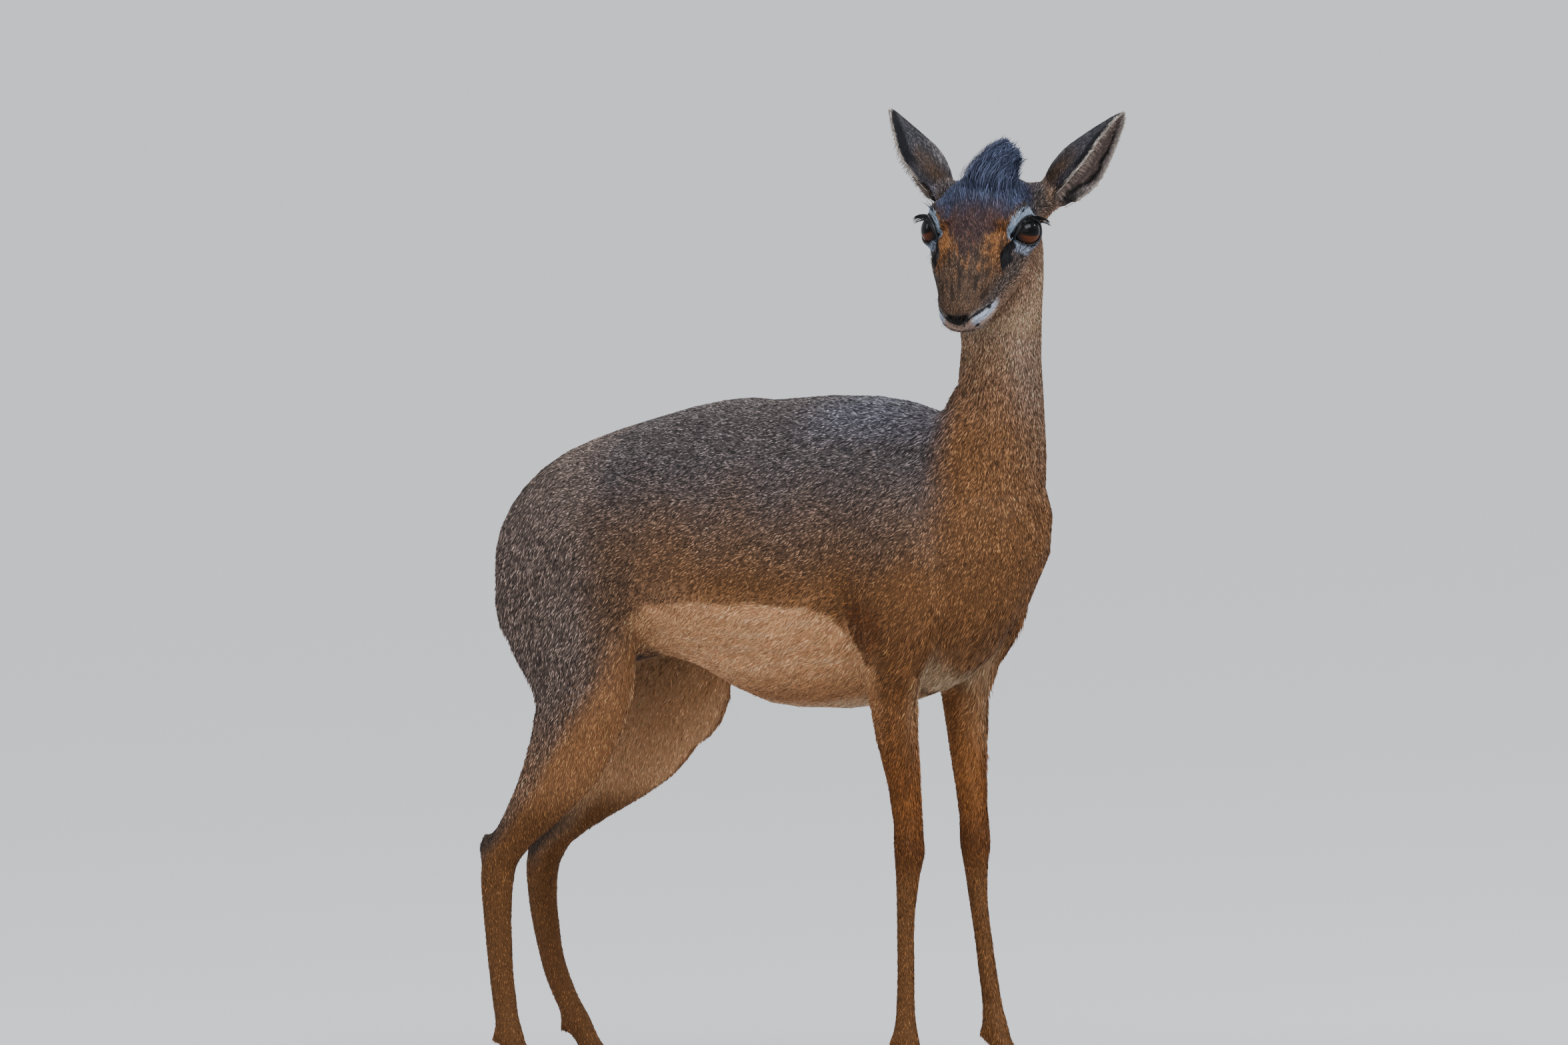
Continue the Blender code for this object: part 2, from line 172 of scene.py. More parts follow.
def signs(places):
    """What turns places on the head's left into these places' own side and back."""
    return np.where(places[:, :1] < 0, -1, 1) * (1, 0, 0) + (0, 1, 1)


def tone(red, green, blue):
    """A linear colour from screen values of 0 to 255."""
    return np.array([((c / 255 + 0.055) / 1.055) ** 2.4 for c in (red, green, blue)])


# ---------------------------------------------------------------- finishes


class Value:
    """A node's output. Plus, minus and times on it add Math nodes."""

    def __init__(self, finish, socket):
        self.finish = finish
        self.socket = socket

    def out(self, name):
        """Another output of the same node."""
        return Value(self.finish, self.socket.node.outputs[name])

    def math(self, operation, *terms):
        inputs = dict(enumerate(terms))
        return self.finish.node("ShaderNodeMath", {"operation": operation}, inputs)

    def __add__(self, other):
        return self.math("ADD", self, other)

    def __sub__(self, other):
        return self.math("SUBTRACT", self, other)

    def __rsub__(self, other):
        return self.math("SUBTRACT", other, self)

    def __mul__(self, other):
        return self.math("MULTIPLY", self, other)

    __radd__ = __add__
    __rmul__ = __mul__


class Finish:
    """A material: its constants go straight on the shader, and its nodes are added by one method."""

    def __init__(self, name, **constants):
        self.material = bpy.data.materials.new(name)
        self.material.use_nodes = True
        self.tree = self.material.node_tree
        self.shader = self.tree.nodes["Principled BSDF"]
        for key, value in constants.items():
            self.shader.inputs[key.replace("_", " ")].default_value = value

    def node(self, kind, settings=None, inputs=None):
        """Adds a node: first its settings, with a ramp's stops as a list, then its sockets."""
        made = self.tree.nodes.new(kind)
        for key, value in (settings or {}).items():
            if key != "stops":
                setattr(made, key, value)
                continue
            ramp = made.color_ramp
            while len(ramp.elements) < len(value):
                ramp.elements.new(0.5)
            for element, (place, colour) in zip(ramp.elements, value):
                element.position = place
                element.color = (*colour, 1)
        for key, value in (inputs or {}).items():
            self.feed(made.inputs[key], value)
        return Value(self, made.outputs[0])

    def feed(self, socket, value):
        if isinstance(value, Value):
            self.tree.links.new(value.socket, socket)
        elif np.ndim(value) and len(value) == 3 and socket.type == "RGBA":
            socket.default_value = (*value, 1)
        else:
            socket.default_value = value

    def surface(self, **inputs):
        """Links what varies over the surface to the shader."""
        for key, value in inputs.items():
            self.feed(self.shader.inputs[key.replace("_", " ")], value)
        return self

    def attribute(self, name):
        return self.node("ShaderNodeAttribute", {"attribute_name": name})

    def place(self):
        return self.node("ShaderNodeTexCoord").out("Object")

    def noise(self, scale, detail=3.0, stretch=(1, 1, 1)):
        """Noise in the piece's own space. Stretch lengthens its grain along an axis."""
        where = self.place()
        if tuple(stretch) != (1, 1, 1):
            squeeze = {"Vector": where, "Scale": tuple(1 / s for s in stretch)}
            where = self.node("ShaderNodeMapping", None, squeeze)
        inputs = {"Vector": where, "Scale": scale, "Detail": detail}
        return self.node("ShaderNodeTexNoise", None, inputs)

    def mix(self, factor, a, b):
        """A mix of two colours."""
        made = self.tree.nodes.new("ShaderNodeMix")
        made.data_type = "RGBA"
        colours = [socket for socket in made.inputs if socket.type == "RGBA"]
        self.feed(made.inputs[0], factor)
        self.feed(colours[0], a)
        self.feed(colours[1], b)
        return Value(self, next(s for s in made.outputs if s.type == "RGBA"))

    def bump(self, height, distance, strength=1.0):
        inputs = {"Height": height, "Distance": distance, "Strength": strength}
        return self.node("ShaderNodeBump", None, inputs)


def coat_finish(name, roughness):
    """Fur: the tuft's own colour, broken a little by a fine grain along the hairs."""
    finish = Finish(name, Roughness=roughness, Specular_IOR_Level=0.3)
    grain = finish.noise(1400, 2)
    colour = finish.attribute("coat_colour")
    darker = finish.mix(0.35, colour, (0.0, 0.0, 0.0))
    return finish.surface(Base_Color=finish.mix(grain, darker, colour))


def skin_finish():
    """Skin under the coat, with the markings and a fine nap of short hair."""
    finish = Finish("dik_dik_skin", Roughness=0.7, Specular_IOR_Level=0.3)
    colour = finish.attribute("coat_colour")
    bare = finish.attribute("bare")
    nap = finish.noise(900, 3, (1, 1, 3.5))
    pores = finish.noise(1700, 3)
    flecks = finish.mix(nap, finish.mix(0.45, colour, (0.0, 0.0, 0.0)), colour)
    grain = nap * (1 - bare) + pores * bare * 0.5
    rough = 0.75 - bare * 0.26
    finish.surface(Base_Color=flecks, Roughness=rough, Normal=finish.bump(grain, 0.0006, 0.5))
    return finish


def horn_finish():
    finish = Finish("hoof_horn", Roughness=0.4, Specular_IOR_Level=0.45)
    rings = finish.noise(260, 4, (4, 4, 0.5))
    scuffs = finish.noise(700, 4)
    dark = finish.mix(rings, (0.012, 0.010, 0.009), (0.055, 0.044, 0.034))
    worn = finish.mix(scuffs * 0.35, dark, (0.12, 0.10, 0.08))
    rough = scuffs * 0.3 + 0.3
    finish.surface(Base_Color=worn, Roughness=rough, Normal=finish.bump(rings, 0.0004, 0.4))
    return finish


def eye_finish():
    finish = Finish("eyeball", Roughness=0.3, Specular_IOR_Level=0.08, Coat_Weight=0.42, Coat_Roughness=0.02)
    return finish.surface(Base_Color=finish.attribute("coat_colour"))


def lid_finish():
    finish = Finish("lid_skin", Roughness=0.32, Specular_IOR_Level=0.5)
    pores = finish.noise(1500, 3)
    finish.surface(Base_Color=finish.attribute("coat_colour"), Normal=finish.bump(pores, 0.0003, 0.4))
    return finish


# ---------------------------------------------------------------- meshes as arrays


def mesh_from(name, points, faces):
    """A mesh from an array of points and an array of faces, which are all triangles or all quads."""
    mesh = bpy.data.meshes.new(name)
    mesh.vertices.add(len(points))
    mesh.vertices.foreach_set("co", np.asarray(points, np.float32).ravel())
    count = faces.shape[1]
    mesh.loops.add(faces.size)
    mesh.loops.foreach_set("vertex_index", faces.astype(np.int32).ravel())
    mesh.polygons.add(len(faces))
    starts = np.arange(len(faces), dtype=np.int32) * count
    mesh.polygons.foreach_set("loop_start", starts)
    mesh.update(calc_edges=True)
    return mesh


def kept(name, working):
    """A mesh from a working mesh, which is then freed."""
    made = bpy.data.meshes.new(name)
    working.to_mesh(made)
    working.free()
    return made


def piece(name, mesh, finish, replaced=()):
    """An object that rides on the animal's one body and takes its finish."""
    mesh.materials.clear()
    mesh.materials.append(finish.material)
    made = bpy.data.objects.new(name, mesh)
    bpy.context.scene.collection.objects.link(made)
    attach(made, "root")
    if replaced:
        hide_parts(*replaced)
    return made


def paint(mesh, colours, bare=None):
    """Keeps one colour for each point, and how bare the skin is there, which the finishes read."""
    if bare is not None:
        mesh.attributes.new("bare", "FLOAT", "POINT").data.foreach_set("value", bare.astype(np.float32))
    layer = mesh.color_attributes.new("coat_colour", "FLOAT_COLOR", "POINT")
    full = np.ones((len(colours), 4), np.float32)
    full[:, :3] = colours
    layer.data.foreach_set("color", full.ravel())


def smooth_faces(mesh):
    mesh.polygons.foreach_set("use_smooth", np.ones(len(mesh.polygons), bool))


def gathered(items, key, width, kind):
    found = np.empty(len(items) * width, kind)
    items.foreach_get(key, found)
    return found.reshape(-1, width)


def points_of(mesh):
    return gathered(mesh.vertices, "co", 3, np.float32).astype(float)


def edges_of(mesh):
    return gathered(mesh.edges, "vertices", 2, np.int32)


def triangles_of(mesh):
    mesh.calc_loop_triangles()
    return gathered(mesh.loop_triangles, "vertices", 3, np.int32)


def moved(mesh, points):
    mesh.vertices.foreach_set("co", points.astype(np.float32).ravel())


def slopes(points, triangles):
    """A way square to each triangle, as long as twice its area."""
    a, b, c = (points[triangles[:, corner]] for corner in range(3))
    return np.cross(b - a, c - a)


def normals_of(points, triangles):
    flat = slopes(points, triangles)
    total = np.zeros_like(points)
    for corner in range(3):
        for axis in range(3):
            sums = np.bincount(triangles[:, corner], flat[:, axis], len(points))
            total[:, axis] += sums
    return unit(total)


def relaxed(points, edges, steps, strength):
    """Each point drawn towards the middle of its neighbours, by its own strength, several times."""
    a, b = edges.T
    count = len(points)
    degree = np.maximum(np.bincount(edges.ravel(), minlength=count), 1)
    flat = points.ndim == 1
    points = points.reshape(count, -1)
    strength = np.broadcast_to(np.asarray(strength, float).reshape(-1, 1), (count, 1))
    for _ in range(steps):
        total = [
            np.bincount(a, points[b, axis], count) + np.bincount(b, points[a, axis], count)
            for axis in range(points.shape[1])
        ]
        points = points + strength * (np.stack(total, 1) / degree[:, None] - points)
    return points[:, 0] if flat else points


def ringed(name, rings):
    """A closed body over rings of points with a flat cap at each end."""
    mesh = bmesh.new()
    loops = [[mesh.verts.new(point) for point in ring] for ring in rings]
    for low, high in zip(loops, loops[1:]):
        for i in range(len(low)):
            mesh.faces.new((low[i - 1], low[i], high[i], high[i - 1]))
    mesh.faces.new(loops[0])
    mesh.faces.new(loops[-1][::-1])
    bmesh.ops.recalc_face_normals(mesh, faces=mesh.faces)
    return kept(name, mesh)


# ---------------------------------------------------------------- the skin

HORN = [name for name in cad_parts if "hoof" in name]
EYES = ["eye_left", "eye_right"]
FLESH = [name for name in sorted(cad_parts) if name not in HORN + EYES]
SHAPED_HERE = ("ear_left", "ear_right", "crest")
SKIN_GRAIN = 0.00095
SKIN_TRIANGLES = 190000
SKIN_STEPS = 26  # how often the skin and the legs' joints are relaxed, and the legs are evened
JOINT_STEPS = 90
LEG_STEPS = 40
EVENING = (0.6, -0.62)  # a step inwards and a longer one outwards, which keeps the legs' size
FETLOCK = (38, 20)  # middle and half height
HOCK = (160, 26)
BEHIND_BODY = -120
LEG_TOP = (230, 180)
WEIGHT_STEPS = 20
CORE_WIDE = 0.64  # the crest's solid core, as shares of its width and length
CORE_LONG = 0.84
SWELL = 0.0004  # closes the thin cuts between the nodes
EAR_ALONG = unit(np.subtract(EAR_TIP, EAR_ROOT))
EAR_AHEAD = np.array((math.sin(math.radians(EAR_FACING)), math.cos(math.radians(EAR_FACING)), 0))
EAR_MOUTH = unit(EAR_AHEAD - EAR_ALONG * (EAR_AHEAD @ EAR_ALONG))
EAR_ACROSS = np.cross(EAR_ALONG, EAR_MOUTH)
EAR_ROWS = between(EAR_STATIONS, 6)
CREST_ROWS = between(CREST_STATIONS, 6)
CREST_WAY = unit(np.gradient(CREST_ROWS[:, :3], axis=0))
CREST_FIRST = unit(np.cross(CREST_WAY, (1.0, 0, 0)))
CREST_SECOND = np.cross(CREST_WAY, CREST_FIRST)


def on_crest(along, turn, share):
    """Places in the crest: along its bent middle from 0 to 1, round it, and out to a share of its width."""
    steps = np.linspace(0, 1, len(CREST_ROWS))
    pick = lambda table: np.stack([np.interp(along, steps, column) for column in table.T], -1)
    rows = pick(CREST_ROWS)
    across = pick(CREST_FIRST) * (np.cos(turn) * rows[..., 3])[..., None]
    across = across + pick(CREST_SECOND) * (np.sin(turn) * rows[..., 4])[..., None]
    return rows[..., :3] + across * np.asarray(share)[..., None]


def ear_mesh(side):
    """A cupped leaf: each section is a crescent between a deep outer arc and a shallower inner one."""
    arc = np.linspace(-math.pi / 2, math.pi / 2, 25)
    rings = []
    for distance, half, depth in EAR_ROWS:
        wall = min(EAR_WALL, depth)
        hollow = (depth - wall) * (1 - math.exp(-max(distance, 0) / 9))
        inside = 0.97 * (half - 0.35 * wall)
        outer = [(half * math.sin(a), -depth * math.cos(a)) for a in arc]
        inner = [(inside * math.sin(a), -hollow * math.cos(a)) for a in arc[::-1]]
        middle = EAR_ROOT + EAR_ALONG * distance + EAR_MOUTH * (depth / 2)
        ring = [middle + EAR_ACROSS * x + EAR_MOUTH * y for x, y in outer + inner]
        rings.append(on_head(np.array(ring) * (side, 1, 1)))
    return ringed("ear", rings)


def swollen(name):
    """A node's mesh with its points joined and moved out a little."""
    mesh = bmesh.new()
    mesh.from_mesh(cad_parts[name].data)
    bmesh.ops.remove_doubles(mesh, verts=mesh.verts, dist=1e-5)
    mesh.normal_update()
    for vert in mesh.verts:
        vert.co += vert.normal * SWELL
    return kept(name, mesh)


def ball(middle, radius, fine=4):
    mesh = bmesh.new()
    bmesh.ops.create_icosphere(mesh, subdivisions=fine, radius=radius)
    bmesh.ops.translate(mesh, verts=mesh.verts, vec=Vector(middle))
    return kept("ball", mesh)


def modified(mesh, kind, weights=None, **settings):
    """The mesh that one modifier makes of this one. The points' weights go into a group of that name."""
    holder = bpy.data.objects.new("holder", mesh)
    bpy.context.scene.collection.objects.link(holder)
    if weights is not None:
        group = holder.vertex_groups.new(name="weights")
        levels = np.round(weights * WEIGHT_STEPS).astype(int)
        for level in range(1, WEIGHT_STEPS + 1):
            group.add(np.flatnonzero(levels == level).tolist(), level / WEIGHT_STEPS, "REPLACE")
    modifier = holder.modifiers.new(kind, kind)
    for key, value in settings.items():
        setattr(modifier, key, value)
    graph = bpy.context.evaluated_depsgraph_get()
    made = bpy.data.meshes.new_from_object(holder.evaluated_get(graph))
    bpy.data.objects.remove(holder)
    bpy.data.meshes.remove(mesh)
    return made


EYE_AXIS = unit(np.array((0.797, 0.382, 0.467)))  # where the opening of the lids looks
LID_CORNER = unit(np.array((-0.535, 0.806, 0.255)))  # square to it, towards the inner corner
LID_UP = np.cross(EYE_AXIS, LID_CORNER)
LIDS_LONG = 58  # half the opening, in degrees round the eye
LIDS_HIGH = 42
LID = 1.0  # thickness of the lids


def lid_edge(turn):
    """The angle from the opening's axis to the edge of the lids, with a drawn-out inner corner."""
    edge = 1 / np.sqrt((np.cos(turn) / LIDS_LONG) ** 2 + (np.sin(turn) / LIDS_HIGH) ** 2)
    return edge + 7 * np.exp(-((turn / 0.3) ** 2))


def lid_way(turn, angle):
    """Directions from the left eye's centre, from turns round the opening's axis and angles away from it."""
    angle = np.radians(angle)[:, None]
    round_it = np.cos(turn)[:, None] * LID_CORNER + np.sin(turn)[:, None] * LID_UP
    return EYE_AXIS * np.cos(angle) + round_it * np.sin(angle)


def round_eye(places):
    """For places on the head: distance from the eye's centre, angle from the opening's axis as a share of
    the angle to the edge of the lids, and turn round that axis."""
    out = both_sides(places) - (EYE_SIDE, 0, 0)
    far = np.linalg.norm(out, axis=1)
    way = out / np.maximum(far, 1e-6)[:, None]
    turn = np.arctan2(way @ LID_UP, way @ LID_CORNER)
    angle = np.degrees(np.arccos(np.clip(way @ EYE_AXIS, -1, 1)))
    return far, angle / lid_edge(turn), turn


FACE_LINES = {  # on the left half of the head
    "mouth": [
        (0, 72, -7), (4, 72.5, -5), (7.2, 72.3, -1.8), (10, 69.4, -0.8),
        (12.3, 65.9, -1.8), (14.1, 60.8, -3.8), (15.6, 55.7, -5.7), (16.2, 52, -6.8),
    ],
    "corner": [(23.4, 11, 6.4), (23.6, 14.5, 7.2), (23.2, 18.5, 7.0)],
    "gland": [(23.6, 16.5, 7.2), (22.6, 21.5, 5.6), (21.6, 27, 4.4), (20.9, 32, 2.2)],
    "nostril": [(2.3, 72, -0.6), (3.8, 72, 0.6), (5.4, 71, 0.4)],
    "philtrum": [(0, 72.5, -0.5), (0, 72.5, -6.5)],
    "fold": [(5.5, 36, 12.5), (6.8, 48, 10.5), (5.6, 62, 8.0)],
    "crease": [(7.6, 46, 10.2), (7.0, 52, 9.0), (4.6, 59, 8.0), (3.6, 64, 7.0)],
}
FACE_STREAKS = [  # dark streaks on the bridge of the nose, and their half widths
    ([(-7.5, 46, 10.0), (-6.4, 51, 9.0), (-3.5, 63, 6.6)], 0.9),
    ([(-0.8, 41, 11.0), (-1.4, 49, 9.6), (-0.5, 55, 8.4)], 0.8),
    ([(9.4, 46, 9.0), (8.6, 50, 8.4), (8.4, 55, 7.4)], 0.8),
    ([(14.4, 51, 2.6), (12.6, 57, 3.4)], 1.2),
]
GLAND_HALF = (2.6, 4.3, 4.9, 2.4)
BODY_FOLDS = [  # place on the side, forward and height, then depth and half width
    ([(56, -44, 300), (52, -46, 286), (44, -44, 274), (31, -40, 262)], 1.6, 5),
    ([(52, 92, 262), (56, 101, 276), (58, 108, 292), (57, 112, 312)], 1.4, 5),
    ([(26, 152, 430), (34, 170, 424), (28, 196, 418)], 1.0, 6),
]


def settled(points):
    """The lines of the face drawn on the skin: each place moves to the nearest of the skin's points."""
    near = both_sides(in_head(points))
    near = near[(near[:, 1] > -14) & (np.abs(near[:, 2]) < 25)]
    turn = np.linspace(-math.pi, math.pi, 33)
    rows = {name: between(line, 4) for name, line in FACE_LINES.items()}
    rows["lid"] = (EYE_SIDE, 0, 0) + lid_way(turn, lid_edge(turn)) * (EYE_RADIUS + LID)
    lines = {}
    for name, row in rows.items():
        spots = np.array([near[np.argmin(((near - spot) ** 2).sum(1))] for spot in row])
        spots[1:-1] = (spots[:-2] + 2 * spots[1:-1] + spots[2:]) / 4
        lines[name] = spots
    return lines


def in_gland(near, lines):
    """Distance from the tear gland's line as a share of its half width."""
    apart, along = from_line(near, lines["gland"])
    return apart / np.interp(along, np.linspace(0, 1, len(GLAND_HALF)), GLAND_HALF)


def face_sculpted(points, normals, edges):
    """Lids, tear glands, nostrils, lips and folds, as small moves of the skin's points."""
    lines = settled(points)
    near = both_sides(in_head(points))
    inward = np.zeros(len(points))
    apart, along = from_line(near, lines["mouth"])
    inward += 1.4 * np.exp(-((apart / 0.9) ** 2)) * rise(along, 1.0, 0.93)
    inward -= 0.5 * bump_at(apart, 2.2, 1.4)
    gland = in_gland(near, lines)
    inward += 1.5 * rise(gland, 1.15, 0.4)
    inward -= 0.5 * bump_at(gland, 1.4, 0.4)
    apart, along = from_line(near, lines["nostril"])
    inward += 2.6 * rise(apart, 1.5, 0.3)
    inward -= 0.5 * bump_at(apart, 2.3, 1.0)
    for name, deep, half in (("philtrum", 0.6, 1.1), ("fold", 0.5, 2.2), ("crease", 0.4, 1.4)):
        apart, along = from_line(near, lines[name])
        inward += deep * rise(apart, half, 0) * bump_at(along, 0.5, 0.55)
    stance = both_sides(stood(points))
    for line, deep, half in BODY_FOLDS:
        apart, along = from_line(stance, line)
        inward += deep * rise(apart, half, 0) * bump_at(along, 0.5, 0.55)
    points = points - normals * (inward * MM)[:, None]
    places = in_head(points)
    far, share, turn = round_eye(places)
    closed = EYE_RADIUS + LID + (15 + 20 * np.exp(-((turn / 0.7) ** 2))) * np.maximum(share - 1, 0) ** 2
    closed -= 0.4 * bump_at(share, 1.2, 0.08) * rise(np.sin(turn), 0, 0.4)
    open_to = closed - (LID + 2.0) * rise(share, 1.0, 0.93)
    centre = (EYE_SIDE, 0, 0) * signs(places)
    limited = np.where(far < 24, np.minimum(far, open_to), far)
    places = centre + (places - centre) * (limited / np.maximum(far, 1e-6))[:, None]
    beside = 0.5 * rise(far, 26, 18) * rise(share, 1.05, 1.25)
    return relaxed(on_head(places), edges, 6, beside)


def head_share(points):
    """1 on the head and 0 on the neck."""
    forward, up = in_head(points).T[1:]
    return rise((forward - 10) * 0.38 + (up + 45) * 0.92, -9, 7)


def coat_depth(points):
    """How far the skin lies under the tips of the coat, in millimetres."""
    height = stood(points)[:, 2]
    depth = 1.0 + 1.6 * rise(height, 150, 290)
    return mixed(depth, 1.0, head_share(points))


def on_ear(places):
    """1 on the free part of the ears."""
    near = both_sides(places)
    return rise((near - EAR_ROOT) @ EAR_ALONG, 2, 14) * rise(near[:, 0], 24, 34)


def skin_mesh():
    parts = [swollen(name) for name in FLESH if name not in SHAPED_HERE]
    for side in (-1, 1):
        parts.append(ear_mesh(side))
        middle = on_head((side * EYE_SIDE, 0, 0))
        parts.append(ball(middle, (EYE_RADIUS + LID + 1.0) * MM))
    turns = np.linspace(0, 2 * math.pi, 24, endpoint=False)
    heights = np.linspace(0, CORE_LONG, 9)
    core = [on_head(on_crest(0 * turns + along, turns, 0 * turns + CORE_WIDE)) for along in heights]
    parts.append(ringed("crest_core", core))
    solid = bmesh.new()
    for part in parts:
        solid.from_mesh(part)
        bpy.data.meshes.remove(part)
    whole = modified(kept("skin", solid), "REMESH", mode="VOXEL", voxel_size=SKIN_GRAIN)
    points, edges, triangles = points_of(whole), edges_of(whole), triangles_of(whole)
    places = in_head(points)
    ear = on_ear(places)
    head = head_share(points)
    strength = mixed(mixed(0.5, 0.25, head), 0.06, ear)
    points = relaxed(points, edges, SKIN_STEPS, strength)
    normals = normals_of(points, triangles)
    points = points - normals * (coat_depth(points) * (1 - ear) * MM)[:, None]
    points = relaxed(points, edges, 3, strength)
    stance = stood(points)
    behind = rise(normals[:, 1], 0.0, 0.5)
    hock = bump_at(stance[:, 2], *HOCK) * (stance[:, 1] < BEHIND_BODY)
    joint = bump_at(stance[:, 2], *FETLOCK) + hock
    low = rise(stance[:, 2], *LEG_TOP)
    legs = edges[(low[edges] > 0).any(1)]
    points = relaxed(points, legs, JOINT_STEPS, 0.6 * behind * joint)
    for _ in range(LEG_STEPS):
        for strength in EVENING:
            points = relaxed(points, legs, 1, strength * low)
    normals = normals_of(points, triangles)
    moved(whole, face_sculpted(points, normals, edges))
    ratio = min(1.0, SKIN_TRIANGLES / len(triangles))
    fine = np.maximum(np.maximum(head, ear), 0.4 * low)
    return modified(whole, "DECIMATE", 1 - 0.94 * fine, ratio=ratio, vertex_group="weights")


# ---------------------------------------------------------------- markings

PARTS = ["trunk", "neck", "head", "ear", "crest", "fore", "hind", "tail"]
PART_OF = {"lower": "head", "thigh": "hind", "shank": "hind"}


def part_of(node):
    """The index in PARTS of a node of flesh."""
    first = node.split("_")[0]
    return PARTS.index(PART_OF.get(first, first))


def drift(points, size, seed=0):
    """A smooth, random field between about -1 and 1 whose waves are some size in millimetres."""
    waves = np.random.default_rng(seed)
    total = np.zeros(len(points))
    for _ in range(7):
        way = unit(waves.normal(size=3)) * waves.uniform(0.7, 1.6)
        total += np.sin(points @ way / MM * 2 * math.pi / size + waves.uniform(0, 7))
    return total / 3.2


class Coat:
    """For some points: the coat's mean colour, its salt and pepper, and how bare and black the skin is."""

    def __init__(self, count, colour, grizzle):
        self.colour = np.broadcast_to(colour, (count, 3)).copy()
        self.grizzle = np.full(count, grizzle)
        self.bare = np.zeros(count)

    def lay(self, weight, colour, grizzle=0.1, bare=0.0):
        """Lays a colour over the coat where the weight is 1."""
        colour = np.broadcast_to(colour, self.colour.shape)
        weight = np.broadcast_to(weight, self.bare.shape)
        self.colour = mixed(self.colour, colour, weight)
        self.grizzle = mixed(self.grizzle, grizzle, weight)
        self.bare = mixed(self.bare, bare, weight)


BACK = tone(92, 83, 82)
# Grizzled grey withers, with the blue of sky light on the top of the back painted in.
WITHERS_GREY_AND_PAINTED_SKY = tone(112, 112, 124)
SIDE = tone(111, 85, 65)
LOW_SIDE = tone(118, 82, 50)
THIGH_GREY = tone(114, 98, 90)
CINNAMON = tone(216, 164, 122)
BELLY = tone(196, 168, 138)
ELBOW_BROWN = tone(94, 56, 26)
TAN = tone(158, 114, 78)
# Pale inner legs, made paler still as painted light that lifts the shade between the legs.
INNER_TAN_AND_PAINTED_FILL = tone(200, 156, 118)
FORE_INNER = tone(158, 108, 66)
RUFOUS_LEG = tone(124, 78, 40)
SHANK_BROWN = tone(120, 82, 48)
HOCK_DARK = tone(66, 54, 46)
NECK_SIDE = tone(134, 100, 74)
NECK_FRONT = tone(136, 114, 100)
# Upper neck under the jaw: paler grey-tan, partly its own colour and partly painted light that lifts the
# head's shadow there.
NECK_TOP_AND_PAINTED_LIGHT = tone(168, 137, 113)
CHEST_TAN = tone(128, 90, 58)
BRISKET = tone(192, 164, 134)
FLANK_EDGE = [  # forward and height
    (-70, 290), (-45, 299), (0, 301), (40, 300), (58, 299), (76, 297), (91, 292), (104, 278), (114, 262),
]
THIGH_EDGE = [  # height and forward
    (140, -205), (165, -176), (181, -159), (201, -144), (220, -122), (253, -91), (285, -70), (330, -44),
]
ELBOW = (57, 115, 285)


